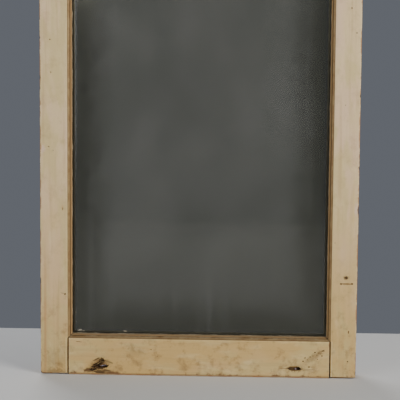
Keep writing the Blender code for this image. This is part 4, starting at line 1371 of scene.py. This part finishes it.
hinge_steel = rusty("hinge_steel", 240.0, 0.15)
screw_steel = rusty("screw_steel", 400.0, 0.6)
point_steel = rusty("point_steel", 350.0, 0.2)
for level in ("lower", "upper"):
    hinge = f"{level}_hinge"
    on_frame = (0.00025, hinge_steel, "frame_side", "hinge_steel")
    on_leaf = (0.00025, hinge_steel, "sash", "hinge_steel")
    eased_copy(f"{hinge}_frame_leaf", f"{level}_leaf_on_frame", *on_frame)
    eased_copy(f"{hinge}_sash_leaf", f"{level}_leaf_on_sash", *on_leaf)
    eased_copy(f"{hinge}_pin", f"{level}_pin", 0.0004, screw_steel, "frame_side", "screw_steel")
    for number in (1, 2, 3):
        screw = f"{level}_screw_{number}"
        eased_copy(f"{hinge}_screw_{number}", screw, 0.0, screw_steel, "sash", "screw_steel")
for number in range(1, 9):
    eased_copy(f"tenon_wedge_{number}", f"wedge_{number}", 0.0003, END_GRAIN, "sash", "bare_wood")
    eased_copy(f"glazing_point_{number}", f"point_{number}", 0.0, point_steel, "sash", "rusty_steel")
for number in range(1, 5):
    eased_copy(f"joint_pin_{number}", f"pin_{number}", 0.0003, PIN_GRAIN, "sash", "bare_wood")
make_bent_nail()
make_nail("nail_stub_right", "nail_right", 0.4)


# ---------------------------------------------------------------- floor, light and camera


def make_floor():
    nothing_selected()
    bpy.ops.mesh.primitive_plane_add(size=1, location=(0, -1.085, 0))
    floor = bpy.context.object
    floor.scale = (3.4, 2.83, 1)
    set_down(floor, "floor")
    material, mix, shader = new_material("pale_floor")
    tone = mix.lay((0.60, 0.60, 0.59, 1), (0.64, 0.64, 0.63, 1), mix.cloud(3, 2))
    mix.fill(shader, {"Base Color": tone, "Roughness": 0.8})
    dress(floor, material)


def add_light(name, place, aim, size, power, colour):
    lamp = bpy.data.lights.new(name, "AREA")
    lamp.shape = "RECTANGLE"
    lamp.size, lamp.size_y = size
    lamp.energy = power
    lamp.color = colour
    holder = bpy.data.objects.new(name, lamp)
    holder.location = place
    holder.rotation_euler = (Vector(aim) - Vector(place)).to_track_quat("-Z", "Y").to_euler()
    bpy.context.scene.collection.objects.link(holder)


def make_studio():
    middle = (0, 0, 0.35)
    add_light("key", (1.9, -1.6, 1.4), middle, (1.2, 1.2), 66, (1.0, 0.97, 0.92))
    add_light("fill", (-1.5, -1.7, 0.9), middle, (1.4, 1.4), 20, (0.97, 0.98, 1.0))
    add_light("rear", (-0.9, 1.9, 1.5), middle, (1.4, 1.2), 34, (0.98, 0.98, 1.0))
    world = bpy.data.worlds.new("studio")
    world.use_nodes = True
    world.node_tree.nodes["Background"].inputs["Color"].default_value = (0.125, 0.135, 0.156, 1)
    bpy.context.scene.world = world
    lens = bpy.data.cameras.new("camera")
    lens.lens = CAMERA_LENS
    lens.sensor_width = 36
    camera = bpy.data.objects.new("camera", lens)
    camera.location = CAMERA_PLACE
    turn = Matrix.Rotation(math.radians(CAMERA_TURN), 3, "Z")
    tilt = Matrix.Rotation(math.radians(CAMERA_TILT), 3, "X")
    roll = Matrix.Rotation(math.radians(CAMERA_ROLL), 3, "Y")
    level = Matrix.Rotation(math.radians(90), 3, "X")
    camera.rotation_euler = (turn @ tilt @ roll @ level).to_euler()
    bpy.context.scene.collection.objects.link(camera)
    bpy.context.scene.camera = camera


make_floor()
make_studio()
